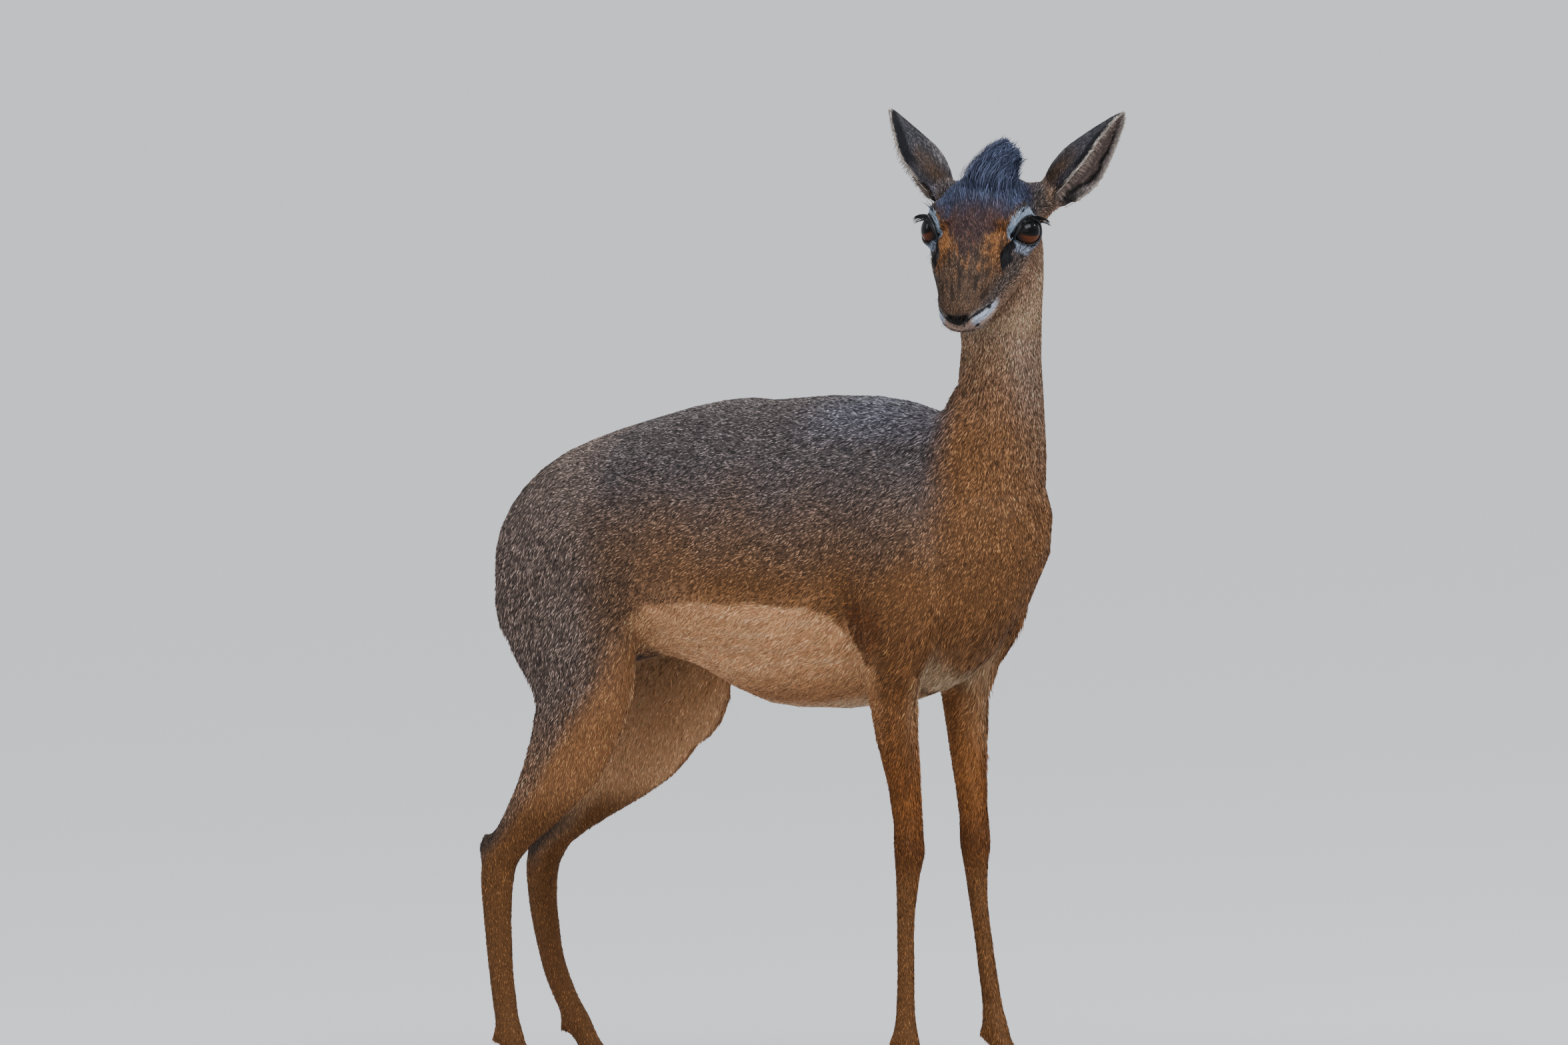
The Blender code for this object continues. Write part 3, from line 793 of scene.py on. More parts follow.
def body_markings(points, normals, share):
    """Trunk, neck, legs and tail, from the trunk's mean colours to its patches and then the limbs."""
    side, forward, height = stood(points).T
    out = np.abs(side)
    inner = rise(-normals[:, 0] * np.sign(side), 0.0, 0.45)
    wave = drift(points, 55, 3)
    coat = Coat(len(points), SIDE, 0.9)
    coat.lay(rise(height + 6 * wave, 320, 385), BACK, 1.0)
    # Grey withers, with painted blue sky light on the top of the back.
    coat.lay(rise(height, 385, 410) * rise(forward, 40, 110), WITHERS_GREY_AND_PAINTED_SKY, 1.0)
    coat.lay(rise(height + 5 * wave, 335, 300) * rise(forward, -30, 0), LOW_SIDE, 0.6)
    coat.lay(rise(forward + 6 * wave, -60, -110), THIGH_GREY, 0.95)
    top = np.interp(forward, *np.array(FLANK_EDGE).T) + 1.5 * wave
    patch = rise(top - height, -1.5, 2.5) * rise(forward, -75, -55) * rise(forward, 124, 108)
    patch *= 1 - share["fore"]
    coat.lay(patch, CINNAMON, 0.2)
    streak = drift(points * (1, 0.2, 1), 7, 21)
    coat.lay(patch * rise(streak, 0.1, 0.9) * 0.5, CINNAMON * 0.7, 0.2)
    coat.lay(patch * rise(streak, -0.3, -1) * 0.4, BELLY, 0.2)
    coat.lay(patch * rise(height, 262, 240) * rise(out, 14, 34), TAN, 0.1)
    coat.lay(patch * rise(height, 258, 236) * rise(out, 30, 12), BELLY, 0.05)
    spot = np.hypot(np.hypot((out - ELBOW[0]) * 0.6, forward - ELBOW[1]), height - ELBOW[2])
    coat.lay(rise(spot + 2 * wave, 20, 8) * rise(out, 30, 44), ELBOW_BROWN, 0.35)
    neck = np.clip(share["neck"] + rise(height, 400, 425) * rise(forward, 150, 175), 0, 1)
    chest = rise(forward, 145, 175) * rise(height, 300, 330)
    coat.lay(chest, CHEST_TAN, 0.6)
    coat.lay(rise(forward + 4 * wave, 120, 145) * rise(height, 330, 300), CHEST_TAN, 0.4)
    tuft = bump_at(forward + 3 * wave, 136, 20) * rise(height + 3 * wave, 304, 276) * rise(out, 44, 30)
    coat.lay(tuft, BRISKET, 0.3)
    coat.lay(neck * rise(height, 385, 425), NECK_SIDE, 0.75)
    coat.lay(neck * rise(forward + (height - 420) * 0.1, 196, 214), NECK_FRONT, 0.6)
    # The upper neck: paler grey-tan, with painted light against the head's shadow.
    coat.lay(neck * rise(height, 415, 475), NECK_TOP_AND_PAINTED_LIGHT, 0.6)
    thigh = share["hind"]
    edge = np.interp(height, *np.array(THIGH_EDGE).T)
    front = rise(forward - edge + 4 * wave, -6, 12)
    coat.lay(thigh * rise(height, 250, 190) * (1 - front) * 0.5, TAN, 0.8)
    coat.lay(thigh * front, TAN, 0.25)
    # The inner faces of the hind legs: pale tan, lightened as painted light against the shade there.
    coat.lay(thigh * inner, INNER_TAN_AND_PAINTED_FILL, 0.2)
    coat.lay(thigh * rise(height, 190, 165) * front, SHANK_BROWN, 0.25)
    coat.lay(thigh * rise(height, 190, 150) * (1 - front), HOCK_DARK, 0.4)
    coat.lay(thigh * rise(height, 148, 128), SHANK_BROWN, 0.3)
    fore = share["fore"]
    coat.lay(fore, RUFOUS_LEG, 0.3)
    coat.lay(fore * rise(height, 170, 120), SHANK_BROWN, 0.3)
    coat.lay(fore * bump_at(height, 152, 22), RUFOUS_LEG * 0.75, 0.3)
    coat.lay((fore + thigh) * rise(height, 30, 18), RUFOUS_LEG * 0.6, 0.2)
    coat.lay(fore * inner * rise(height, 150, 200) * 0.7, FORE_INNER, 0.2)
    coat.lay(share["tail"], NECK_SIDE, 0.7)
    return coat


SLATE = tone(62, 68, 90)
UMBER = tone(70, 50, 51)
FACE_ORANGE = tone(152, 102, 60)
BRIDGE = tone(92, 70, 54)
CHEEK = tone(88, 76, 70)
TEMPLE = tone(64, 58, 60)
LOW_CHEEK = tone(134, 106, 86)
RING = tone(150, 162, 178)
UNDER_EYE = tone(132, 138, 154)
WHITE_FUR = tone(184, 190, 202)
PALE_LIP = tone(150, 146, 146)
THROAT = tone(160, 132, 108)
CHIN = tone(180, 156, 142)
BLACK_SKIN = tone(14, 12, 13)
BLACK_FUR = tone(20, 17, 20)
EAR_BACK = tone(66, 63, 68)
EAR_FROST = tone(112, 106, 106)
EAR_RUFOUS = tone(84, 66, 53)
EAR_BAND = tone(20, 18, 24)
EAR_RIM = tone(176, 166, 156)
EAR_INNER = tone(112, 97, 92)
EAR_LOBE = tone(132, 121, 118)
EAR_LINE = tone(18, 14, 14)
# The crest's dark grey hair, with the blue-grey sheen of sky light painted into it.
CREST_GREY_AND_PAINTED_SHEEN = tone(79, 85, 107)
CUP_HAIR = tone(116, 102, 94)
WET_EDGE = tone(70, 84, 104)
LIP_HEIGHT = [(50, -6.9), (56, -5.7), (61, -3.9), (66, -2.0), (70, -0.9), (73, -4)]


def on_leaf(points, normals):
    """For points of an ear: distance along it, turn round its cup from 90 at the upper edge to -90 at the
    lower, depth below the edges, and 1 inside the cup."""
    places = in_head(points)
    sign = signs(places)
    near = places * sign - EAR_ROOT
    along, across = near @ EAR_ALONG, near @ EAR_ACROSS
    half, depth = (np.interp(along, EAR_ROWS[:, 0], EAR_ROWS[:, k]) for k in (1, 2))
    below = depth / 2 - near @ EAR_MOUTH
    outward = unit(np.outer(across / half**2, EAR_ACROSS) - np.outer(below / depth**2, EAR_MOUTH))
    facing = ((normals @ HEAD_TURN) * FLIP * sign * outward).sum(1)
    turn = np.degrees(np.arctan2(across / half, np.maximum(below, 0) / depth))
    return along, turn, below, rise(facing, 0.2, -0.2)


def face_markings(points, coat, head, lines):
    places = in_head(points)
    near = both_sides(places)
    side, forward, up = near.T
    wave = drift(points, 14, 5)
    fine = drift(points, 5, 6)
    streak = drift(places * (1, 0.16, 1) * MM, 4, 9)
    coat.lay(head, CHEEK, 1.0)
    coat.lay(head * rise(up, -4, -18), LOW_CHEEK, 0.6)
    upper = head * rise(up, -3, 5) * rise(side, 26, 19)
    coat.lay(upper, BRIDGE, 0.75)
    orange = bump_at(side, 15, 9.5) * rise(forward, 44, 20) * rise(forward + 2 * wave, -4, 12)
    coat.lay(head * orange * rise(up, -3, 5) * rise(streak, -1.5, 0.1), FACE_ORANGE, 0.45)
    coat.lay(upper * rise(side, 9, 4) * rise(forward, 40, 20), BRIDGE * 0.9, 0.8)
    coat.lay(upper * rise(streak, 0.25, 0.8) * 0.7 * rise(forward, 66, 50), BRIDGE * 0.3, 0.3)
    coat.lay(upper * rise(streak, -0.35, -0.9) * 0.6 * rise(forward, 60, 30), FACE_ORANGE, 0.3)
    coat.lay(head * rise(forward, 0, -14) * rise(up, -6, 4), TEMPLE, 0.8)
    half = np.interp(forward, (-12, 0, 8, 14, 25, 40), (27, 22, 17, 12, 7, 4)) + 1.5 * streak
    crown = rise(up, 0, 8) * rise(side, half + 4, half - 2)
    coat.lay(head * rise(forward + 4 * wave, 42, 16) * crown * 0.85, UMBER, 0.5)
    coat.lay(head * rise(forward + 3 * wave + 2 * streak, 10, -9) * crown, SLATE, 0.5)
    coat.lay(head * rise(up + 0.25 * forward, -20, -34), THROAT, 0.5)
    far, angle, turn = round_eye(near)
    apart, along = from_line(near, lines["lid"])
    apart = np.where(angle < 1, 0, apart)
    by_eye = head * rise(far, 27, 22)
    under = rise(-np.sin(turn), 0.1, 0.6)
    coat.lay(by_eye * under * rise(apart + fine, 9.5, 5.5) * rise(-np.cos(turn), 0.8, 0.2), UNDER_EYE, 0.6)
    outer = 5.9 - 3.6 * under - 1.4 * rise(-np.cos(turn), 0.5, 0.95)
    coat.lay(by_eye * rise(apart + 0.5 * fine, outer, outer - 1.3), RING, 0.1)
    inner = rise(np.cos(turn), 0.8, 0.97)
    coat.lay(by_eye * rise(apart, 2.4, 1.6) * inner, BLACK_FUR, 0)
    # Black fur just below the lower lid: painted shade under the lid's edge.
    coat.lay(by_eye * under * rise(apart, 2.0, 1.2), BLACK_FUR, 0)
    lid = rise(apart, 2.3 - 1.4 * under, 1.6 - 1.1 * under)
    coat.lay(by_eye * lid, BLACK_SKIN, 0, 1)
    gland = in_gland(near, lines)
    coat.lay(head * rise(gland, 1.25, 0.95), BLACK_FUR, 0.1)
    coat.lay(head * rise(gland, 0.7, 0.5), BLACK_SKIN, 0, 1)
    tear, along = from_line(near, lines["corner"])
    coat.lay(head * rise(tear, 1.7, 1.0), BLACK_FUR, 0)
    lip, along = from_line(near, lines["mouth"])
    below = np.interp(forward, *np.array(LIP_HEIGHT).T) - up
    chin = rise(below, 0, 0.8) * rise(forward, 44, 52)
    coat.lay(head * chin * rise(below, 12, 7), CHIN, 0.2)
    coat.lay(head * chin * rise(below, 7, 4.5) * rise(side, 7, 9.5), WHITE_FUR, 0.05)
    coat.lay(head * rise(lip, 2.4, 1.4) * rise(below, 0.5, -0.5) * rise(along, 0.1, 0.3) * 0.5, PALE_LIP, 0.2)
    thin = 0.3 + 0.7 * rise(along, 0.2, 0.5)
    coat.lay(head * rise(lip, 1.7 * thin, 1.1 * thin) * rise(along, 1, 0.97), BLACK_FUR, 0)
    coat.lay(head * rise(lip, 1.2 * thin, 0.8 * thin) * rise(along, 1, 0.94), BLACK_SKIN, 0, 1)
    for line, half in FACE_STREAKS:
        apart, along = from_line(places, line)
        coat.lay(head * rise(apart, half + 1, half * 0.5) * 0.8, BRIDGE * 0.25, 0.2)
    dot = np.linalg.norm(near - (10.1, 68.6, -8.6), axis=1)
    coat.lay(head * rise(dot, 1.9, 1.2), BLACK_FUR, 0)
    pad = rise(forward + 0.35 * (up + 1), 69.6, 70.6) * rise(up, -5.6, -4.6) * rise(up, 3.2, 2.2)
    nostril, along = from_line(near, lines["nostril"])
    cleft, along = from_line(near, lines["philtrum"])
    half = np.interp(up, (-5, -2.5, -0.5), (1.2, 2.8, 6.0))
    nose = np.maximum(pad * rise(side, half + 0.7, half - 0.4), rise(nostril, 1.9, 1.3))
    coat.lay(head * np.maximum(nose, 0.8 * rise(cleft, 0.6, 0.2)), BLACK_SKIN, 0, 1)


def ear_markings(points, normals, coat, ear):
    along, turn, below, inside = on_leaf(points, normals)
    ear = ear * rise(along, -2, 8)
    wave = drift(points, 12, 11)
    outside = ear * (1 - inside)
    coat.lay(ear, EAR_BACK, 0.7)
    coat.lay(outside * rise(below + wave, 16, 21), EAR_FROST, 0.8)
    coat.lay(outside * rise(along + 3 * wave, 34, 14) * bump_at(below, 11, 9), EAR_RUFOUS, 0.5)
    wide = np.where(in_head(points)[:, 0] < 0, 7.0 - 2.8 * rise(along, 36, 66), 4.6 * rise(along, 76, 34))
    band = rise(below, wide + 1.2, wide - 0.8) * rise(turn, 0, 20) * rise(along, 14, 24)
    coat.lay(outside * band, EAR_BAND, 0.1)
    coat.lay(ear * inside, EAR_INNER, 0.3)
    line = np.interp(along, (8, 18, 34, 52, 64), (-60, -70, -78, -66, -46)) + 3 * wave
    coat.lay(ear * inside * rise(turn, line, line - 6), EAR_LOBE, 0.5)
    coat.lay(ear * inside * bump_at(turn, line, 9) * rise(along, 4, 12), EAR_LINE, 0)
    coat.lay(ear * inside * rise(along, 22, 6), EAR_LINE, 0.5)
    coat.lay(ear * rise(below, 1.7, 1.0) * rise(along, 6, 14), EAR_RIM, 0.1)


def markings(points, normals, share, lines):
    coat = body_markings(points, normals, share)
    face_markings(points, coat, share["head"] + share["crest"], lines)
    crown = np.linalg.norm(in_head(points) - (2, -16, 8), axis=1)
    # The crest and crown: grey hair with a painted blue-grey sheen of sky light.
    coat.lay(share["crest"] + share["head"] * rise(crown, 21, 14), CREST_GREY_AND_PAINTED_SHEEN, 0.55)
    ear_markings(points, normals, coat, share["ear"])
    return coat


# ---------------------------------------------------------------- the coat


class Hide:
    """The skin's points and triangles, with what the coat needs to know at each point."""

    def __init__(self, mesh):
        self.points = points_of(mesh)
        self.triangles = triangles_of(mesh)
        self.edges = edges_of(mesh)
        self.normals = normals_of(self.points, self.triangles)
        flat = slopes(self.points, self.triangles)
        self.area = np.linalg.norm(flat, axis=1) / 2 / MM**2
        self.level = unit(flat)
        self.part = self.nearest_parts()
        self.share = {}
        for index, name in enumerate(PARTS):
            own = (self.part == index).astype(float)
            self.share[name] = relaxed(own, self.edges, 8, 0.7)
        self.lines = settled(self.points)
        self.coat = markings(self.points, self.normals, self.share, self.lines)
        self.lie = self.combed()
        self.hollow = self.hollowed()

    def nearest_parts(self):
        corners = []
        faces = []
        parts = []
        for name in FLESH:
            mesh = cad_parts[name].data
            start = len(corners)
            corners += [vert.co.copy() for vert in mesh.vertices]
            faces += [[start + i for i in polygon.vertices] for polygon in mesh.polygons]
            parts += [part_of(name)] * len(mesh.polygons)
        tree = BVHTree.FromPolygons(corners, faces)
        return np.array([parts[tree.find_nearest(Vector(point))[2]] for point in self.points])

    def combed(self):
        """The way that the hair lies at each point."""
        side, forward, height = stood(self.points).T
        low = rise(height, 400, 300)
        rear = rise(forward, -95, -150)
        breast = rise(forward, 125, 160)
        fold = rise(height, 302, 285) * rise(forward, 30, -40)
        down = -0.15 - 0.35 * low - 1.2 * rear - breast + fold * 0.9
        trunk = joined(0, -1 + 0.7 * rear + 0.6 * breast, down * (1 - rise(height, 262, 246)))
        neck = joined(0 * side, -0.25, -1)
        leg = joined(0, -0.35 * rise(height, 150, 200), -1)
        tail = joined(0 * side, -0.4, -1)
        places = in_head(self.points)
        ahead, up = both_sides(places).T[1:]
        lift = 0.35 * rise(up, -5, 5) + (1.2 * rise(ahead, 62, 70) - 0.3 * rise(up, 0, -20))
        back = joined(0.35 * np.sign(side) * rise(ahead, 70, 20), -1, lift)
        jaw = rise(up + 0.2 * ahead, -8, -24)[:, None]
        head = unit(head_way(back)) * (1 - jaw) + unit(neck) * FLIP * jaw
        ear = head_way(EAR_ALONG * signs(places))
        ways = {"trunk": trunk, "neck": neck, "fore": leg, "hind": leg, "tail": tail}
        total = sum(self.share[name][:, None] * unit(way) * FLIP for name, way in ways.items())
        total += (self.share["head"] + self.share["crest"])[:, None] * unit(head)
        total += self.share["ear"][:, None] * unit(ear)
        total = relaxed(total, self.edges, 20, 0.7)
        return self.flat(total, self.normals)

    def hollowed(self):
        """How hollow the skin is along the hair, as one over the radius in millimetres."""
        a, b = self.edges.T
        count = len(self.points)
        step = self.points[b] - self.points[a]
        long = np.maximum(np.linalg.norm(step, axis=1), 1e-7)
        step = step / long[:, None]
        bend = ((self.normals[a] - self.normals[b]) * step).sum(1) / long * MM
        total, weight = np.zeros(count), np.full(count, 1e-6)
        for end in (a, b):
            along = (step * self.lie[end]).sum(1) ** 4
            total += np.bincount(end, bend * along, count)
            weight += np.bincount(end, along, count)
        return np.clip(relaxed(total / weight, self.edges, 6, 0.6), -0.02, 0.3)

    @staticmethod
    def flat(ways, normals):
        """Ways laid into the skin's own plane."""
        return unit(ways - normals * (ways * normals).sum(1, keepdims=True))

    def rooted(self, weight, count):
        """Random roots on the skin: the chance of a triangle is its area times its weight."""
        chances = np.cumsum(self.area * weight)
        picks = (np.arange(count) + chance.random(count)) / count * chances[-1]
        found = np.searchsorted(chances, picks)
        found = np.minimum(found, len(self.triangles) - 1)
        corners = self.triangles[found]
        a, b = chance.random((2, count))
        over = a + b > 1
        a, b = np.where(over, 1 - a, a), np.where(over, 1 - b, b)
        weights = np.stack([1 - a - b, a, b], 1)[:, :, None]
        blend = lambda values: (values.reshape(len(values), -1)[corners] * weights).sum(1)
        roots = {"point": blend(self.points), "normal": unit(blend(self.normals)), "way": blend(self.lie)}
        roots["level"] = self.level[found]
        roots["hollow"] = blend(self.hollow)[:, 0]
        roots["share"] = {name: blend(values)[:, 0] for name, values in self.share.items()}
        return roots

    def spots(self, places):
        """The skin's points nearest to places on the head."""
        wanted = on_head(places)
        return self.points[[np.argmin(((self.points - spot) ** 2).sum(1)) for spot in wanted]]


def strips(lines, across, width, colours, taper):
    """Blades along lines of points: pairs of points down each blade, then its tip."""
    count, steps = len(lines), lines.shape[1] - 1
    points = np.empty((count, 2 * steps + 1, 3))
    tones = np.empty((count, 2 * steps + 1, 3))
    patch = np.empty((2 * steps + 1, 2))
    for row in range(steps):
        t = row / steps
        half = across * (width * 0.5 * taper(t))[:, None]
        points[:, 2 * row] = lines[:, row] - half
        points[:, 2 * row + 1] = lines[:, row] + half
        tones[:, 2 * row] = tones[:, 2 * row + 1] = colours[:, row]
        patch[2 * row : 2 * row + 2] = (-1, 2 * t - 1), (1, 2 * t - 1)
    points[:, -1] = lines[:, -1]
    tones[:, -1] = colours[:, -1]
    patch[-1] = (0, 1)
    faces = []
    for row in range(0, 2 * steps - 2, 2):
        faces += [(row, row + 1, row + 3), (row, row + 3, row + 2)]
    faces.append((2 * steps - 2, 2 * steps - 1, 2 * steps))
    starts = (np.arange(count) * (2 * steps + 1))[:, None, None]
    triangles = (np.array(faces)[None] + starts).reshape(-1, 3)
    return points.reshape(-1, 3), triangles, tones.reshape(-1, 3), patch


PATCH = 0.003  # width of a tuft's place on the map
CREST_LOCKS = 4600
RIM_HAIRS = 1500
CUP_HAIRS = 3000
LASHES = 90


def unwrapped(roots, axis):
    """Each root's place on the skin unrolled round an axis: in rows along it, and by turn in each row."""
    axis = unit(np.array(axis, float))
    first = unit(np.cross(axis, (0.31, 0.87, 0.38)))
    second = np.cross(axis, first)
    middle = roots.mean(0)
    along = (roots - middle) @ axis
    turn = np.arctan2((roots - middle) @ second, (roots - middle) @ first)
    rows = max(1, math.ceil(math.sqrt(len(roots))))
    row = np.empty(len(roots), int)
    row[np.argsort(along, kind="stable")] = np.arange(len(roots)) // rows
    order = np.lexsort((turn, row))
    column = np.empty(len(roots), int)
    column[order] = np.arange(len(roots)) - np.repeat(np.arange(rows) * rows, rows)[: len(roots)]
    return (np.stack([column, row], 1) + 0.5) / rows


def hair_piece(name, lines, facing, width, colours, axis, blunt=0.75):
    """One piece of hair: blades along lines of points, turned a little at random about the way they face."""
    count, steps = len(lines), lines.shape[1] - 1
    way = unit(lines[:, -1] - lines[:, 0])
    level = unit(np.cross(way, facing))
    roll = np.radians(chance.normal(0, 16, count))[:, None]
    across = level * np.cos(roll) + np.cross(way, level) * np.sin(roll)
    size = np.broadcast_to(width, count) * MM
    rows = np.linspace(0, colours.shape[1] - 1, steps + 1).round().astype(int)
    taper = lambda t: 1 - (1 - blunt) * t * 2 if steps < 3 else 1 - (1 - blunt) * t
    points, triangles, tones, patch = strips(lines, across, size, colours[:, rows], taper)
    mesh = mesh_from(name, points, triangles)
    paint(mesh, tones)
    places = unwrapped(lines[:, 0], axis)
    half = min(PATCH, 0.92 / math.sqrt(count)) / 2
    corners = (places[:, None] + patch[None] * half).reshape(-1, 2)
    layer = mesh.uv_layers.new(name="OFBake")
    layer.data.foreach_set("uv", corners[triangles.ravel()].astype(np.float32).ravel())
    return piece(name, mesh, FUR)


DARK_SHARE = 0.44  # of the tufts where the coat is fully grizzled
PALE_SHARE = 0.28
PALE_ADDED = (0.03, 0.024, 0.018)


def ticked(colour, grizzle):
    """Root, band and tip colours: dark at the root, and dark or pale tufts where the coat is grizzled."""
    count = len(colour)
    shade = np.exp(chance.normal(0, 0.26, count) + grizzle * chance.normal(0, 0.12, count))
    kind = chance.random(count)
    dark = np.where(kind < DARK_SHARE, grizzle, 0)
    pale = np.where(kind > 1 - PALE_SHARE, grizzle, 0)
    base = colour * shade[:, None]
    base = mixed(base, base * 0.26, dark)
    base = mixed(base, np.minimum(base * 2.3 + PALE_ADDED, 0.75), pale)
    root = mixed(base, base * 0.4, 0.25 + 0.35 * grizzle)
    tip = mixed(base * 1.05, base * 0.5, 0.5 * grizzle)
    return np.stack([root, base, tip], 1)


HAIR = {  # length and width in millimetres, and how steeply it stands
    "trunk": (3.2, 0.62, 0.15),
    "neck": (4.4, 0.62, 0.22),
    "head": (2.6, 0.44, 0.22),
    "ear": (2.8, 0.45, 0.12),
    "crest": (6.0, 0.7, 0.3),
    "fore": (3.0, 0.6, 0.17),
    "hind": (3.6, 0.62, 0.22),
    "tail": (9.0, 1.0, 0.2),
}


def hair_sizes(point, share):
    """Length, width and lift of the tuft at each root."""
    forward, height = stood(point).T[1:]
    total = np.maximum(sum(share.values()), 1e-6)
    length, width, lift = (
        sum(share[name] * HAIR[name][k] for name in HAIR) / total for k in range(3)
    )
    low = rise(height, 210, 120) * (share["fore"] + share["hind"])
    length *= 1 - 0.35 * low + 1.2 * rise(height, 30, 20)
    width *= 1 - 0.15 * low
    brisket = rise(forward, 110, 135) * rise(height, 305, 275)
    flank = rise(height, 305, 290) * rise(height, 236, 250) * rise(forward, 125, 100) * share["trunk"]
    length *= 1 + 1.1 * brisket + 0.7 * flank
    upper = share["neck"] * rise(height, 395, 475)
    length *= 1 - 0.4 * upper
    width *= 1 - 0.3 * upper
    places = in_head(point)
    crown = rise(np.linalg.norm(places - (2, -16, 8), axis=1), 30, 15) * share["head"]
    length *= 1 + crown * chance.uniform(0.2, 2.8, len(length))
    width *= 1 + 0.2 * crown
    lift *= 1 + 0.4 * crown
    nose = share["head"] * rise(places[:, 1], 20, 58)
    length *= 1 - 0.5 * nose
    width *= 1 - 0.3 * nose
    return length, width, lift


SWIRL = (10, 11)  # degrees that tufts turn together, and each on its own
LENGTHS = (0.7, 1.2)
LIFTS = (0.4, 1.35)


def coat_piece(name, hide, weight, count, axis):
    """One piece of the coat, of up to 66,000 tufts of three triangles."""
    roots = hide.rooted(weight, count)
    coat = markings(roots["point"], roots["normal"], roots["share"], hide.lines)
    far, angle = round_eye(in_head(roots["point"]))[:2]
    grown = (coat.bare < 0.5) & ((angle > 1.03) | (far > EYE_RADIUS + 6))
    point, normal, way, hollow = (roots[key][grown] for key in ("point", "level", "way", "hollow"))
    share = {key: values[grown] for key, values in roots["share"].items()}
    count = len(point)
    length, width, lift = hair_sizes(point, share)
    swirl = np.radians(SWIRL[0] * drift(point, 26, 8) + chance.normal(0, SWIRL[1], count))[:, None]
    way = Hide.flat(way, normal)
    way = way * np.cos(swirl) + np.cross(normal, way) * np.sin(swirl)
    length = length * chance.uniform(*LENGTHS, count)
    lift = lift * chance.uniform(*LIFTS, count)
    steps = []
    for t in (0.0, 0.5, 1.0):
        high = length * (lift * (1.5 * t - 0.5 * t * t) - 0.05) + 0.5 * hollow * (length * t) ** 2
        steps.append(point + (way * (length * t)[:, None] + normal * high[:, None]) * MM)
    colours = ticked(coat.colour[grown], coat.grizzle[grown])
    return hair_piece(name, np.stack(steps, 1), normal, width, colours, axis)


def one_colour(colour, count, spread=0.2):
    """A dark root and an even blade for each of some hairs, some a little lighter or darker than others."""
    base = np.asarray(colour) * np.exp(chance.normal(0, spread, count))[:, None]
    return np.stack([base * 0.6, base, base * 1.1], 1)


def curved(root, start, end, length, steps=4):
    """Lines that leave their roots one way and bend towards another."""
    t = np.linspace(0, 1, steps + 1)[None, :, None]
    reach = np.broadcast_to(length, len(root))[:, None, None]
    start, end = unit(start)[:, None], unit(end)[:, None]
    return root[:, None] + reach * (t * start + 0.5 * t * t * (end - start))


def crest_locks():
    """Long locks that lie round the crest from its foot to its point."""
    count = CREST_LOCKS
    start = chance.uniform(0.0, 0.9, count)
    turn = chance.uniform(0, 2 * math.pi, count)
    reach = chance.uniform(0.3, 0.5, count) * (1.1 - 0.4 * start)
    full = chance.uniform(0.8, 1.2, count)
    frizz = chance.normal(0, 1.8, (count, 3))
    lines = []
    for t in np.linspace(0, 1, 5):
        along = np.minimum(start + reach * t, 1)
        share = 0.6 + (full - 0.6) * rise(t, 0, 0.6)
        lines.append(on_crest(along, turn + 0.15 * t * np.sin(turn * 5), share) + frizz * t * t)
    lines = np.stack(lines, 1)
    facing = unit(lines[:, 2] - on_crest(np.minimum(start + reach / 2, 1), turn, 0 * turn))
    # The locks take the crest's colour, with its painted blue-grey sheen.
    colours = ticked(np.broadcast_to(CREST_GREY_AND_PAINTED_SHEEN, (count, 3)), np.full(count, 0.35))
    width = chance.uniform(0.3, 0.6, count)
    hair_piece("crest_locks", on_head(lines), head_way(facing), width, colours, (0, 0, 1))


def leaf_place(along, turn, inside):
    """Places on the left ear's outer or inner face, from distance along it and turn round its cup."""
    half, depth = (np.interp(along, EAR_ROWS[:, 0], EAR_ROWS[:, k]) for k in (1, 2))
    hollow = np.maximum(depth - EAR_WALL, 0) * (1 - np.exp(-np.maximum(along, 0) / 9))
    angle = np.radians(turn)
    down = np.where(inside, hollow, depth) * np.cos(angle) - depth / 2
    across = np.where(inside, 0.97 * (half - 0.35 * EAR_WALL), half) * np.sin(angle)
    return EAR_ROOT + np.outer(along, EAR_ALONG) + np.outer(across, EAR_ACROSS) - np.outer(down, EAR_MOUTH)


def mirrored(places):
    """Places or directions on the left of the head, then the same on its right."""
    return np.concatenate([places, places * (-1, 1, 1)])


def ear_hairs():
    """A pale fringe along the edges of the ears, and hairs that reach over the cup from its upper edge."""
    count = RIM_HAIRS
    along = chance.uniform(3, 66, count)
    edge = np.where(np.arange(count) % 2, 1, -1)
    root = leaf_place(along, 88.0 * edge, True)
    out = np.outer(edge, EAR_ACROSS)
    start = EAR_ALONG + 0.35 * out + 0.3 * EAR_MOUTH + chance.normal(0, 0.12, (count, 3))
    rim = curved(root, start, start + EAR_ALONG, chance.uniform(0.8, 1.7, count), 3)
    rim_tone = one_colour(EAR_RIM, count)
    inner = CUP_HAIRS
    along = chance.uniform(2, 58, inner)
    root = leaf_place(along, chance.uniform(58, 86, inner), True)
    start = 0.6 * EAR_MOUTH - 0.35 * EAR_ACROSS + 0.15 * EAR_ALONG + chance.normal(0, 0.24, (inner, 3))
    size = (3.0 + 4.6 * rise(along, 62, 30)) * chance.uniform(0.35, 1.1, inner)
    reach = curved(root, start, 0.3 * start - 0.5 * EAR_ACROSS, size, 3)
    colours = np.concatenate([rim_tone, rim_tone, *[one_colour(CUP_HAIR, inner, 0.5)] * 2])
    lines = np.concatenate([mirrored(rim), mirrored(reach)])
    facing = mirrored(np.broadcast_to(EAR_MOUTH + 0.8 * EAR_ACROSS, (count, 3)))
    facing = np.concatenate([facing, mirrored(np.broadcast_to(EAR_ACROSS + 0.6 * EAR_MOUTH, (inner, 3)))])
    width = np.repeat([0.28, 0.2], [2 * count, 2 * inner])
    hair_piece("ear_hairs", on_head(lines), head_way(facing), width, colours, (0, 0, 1))


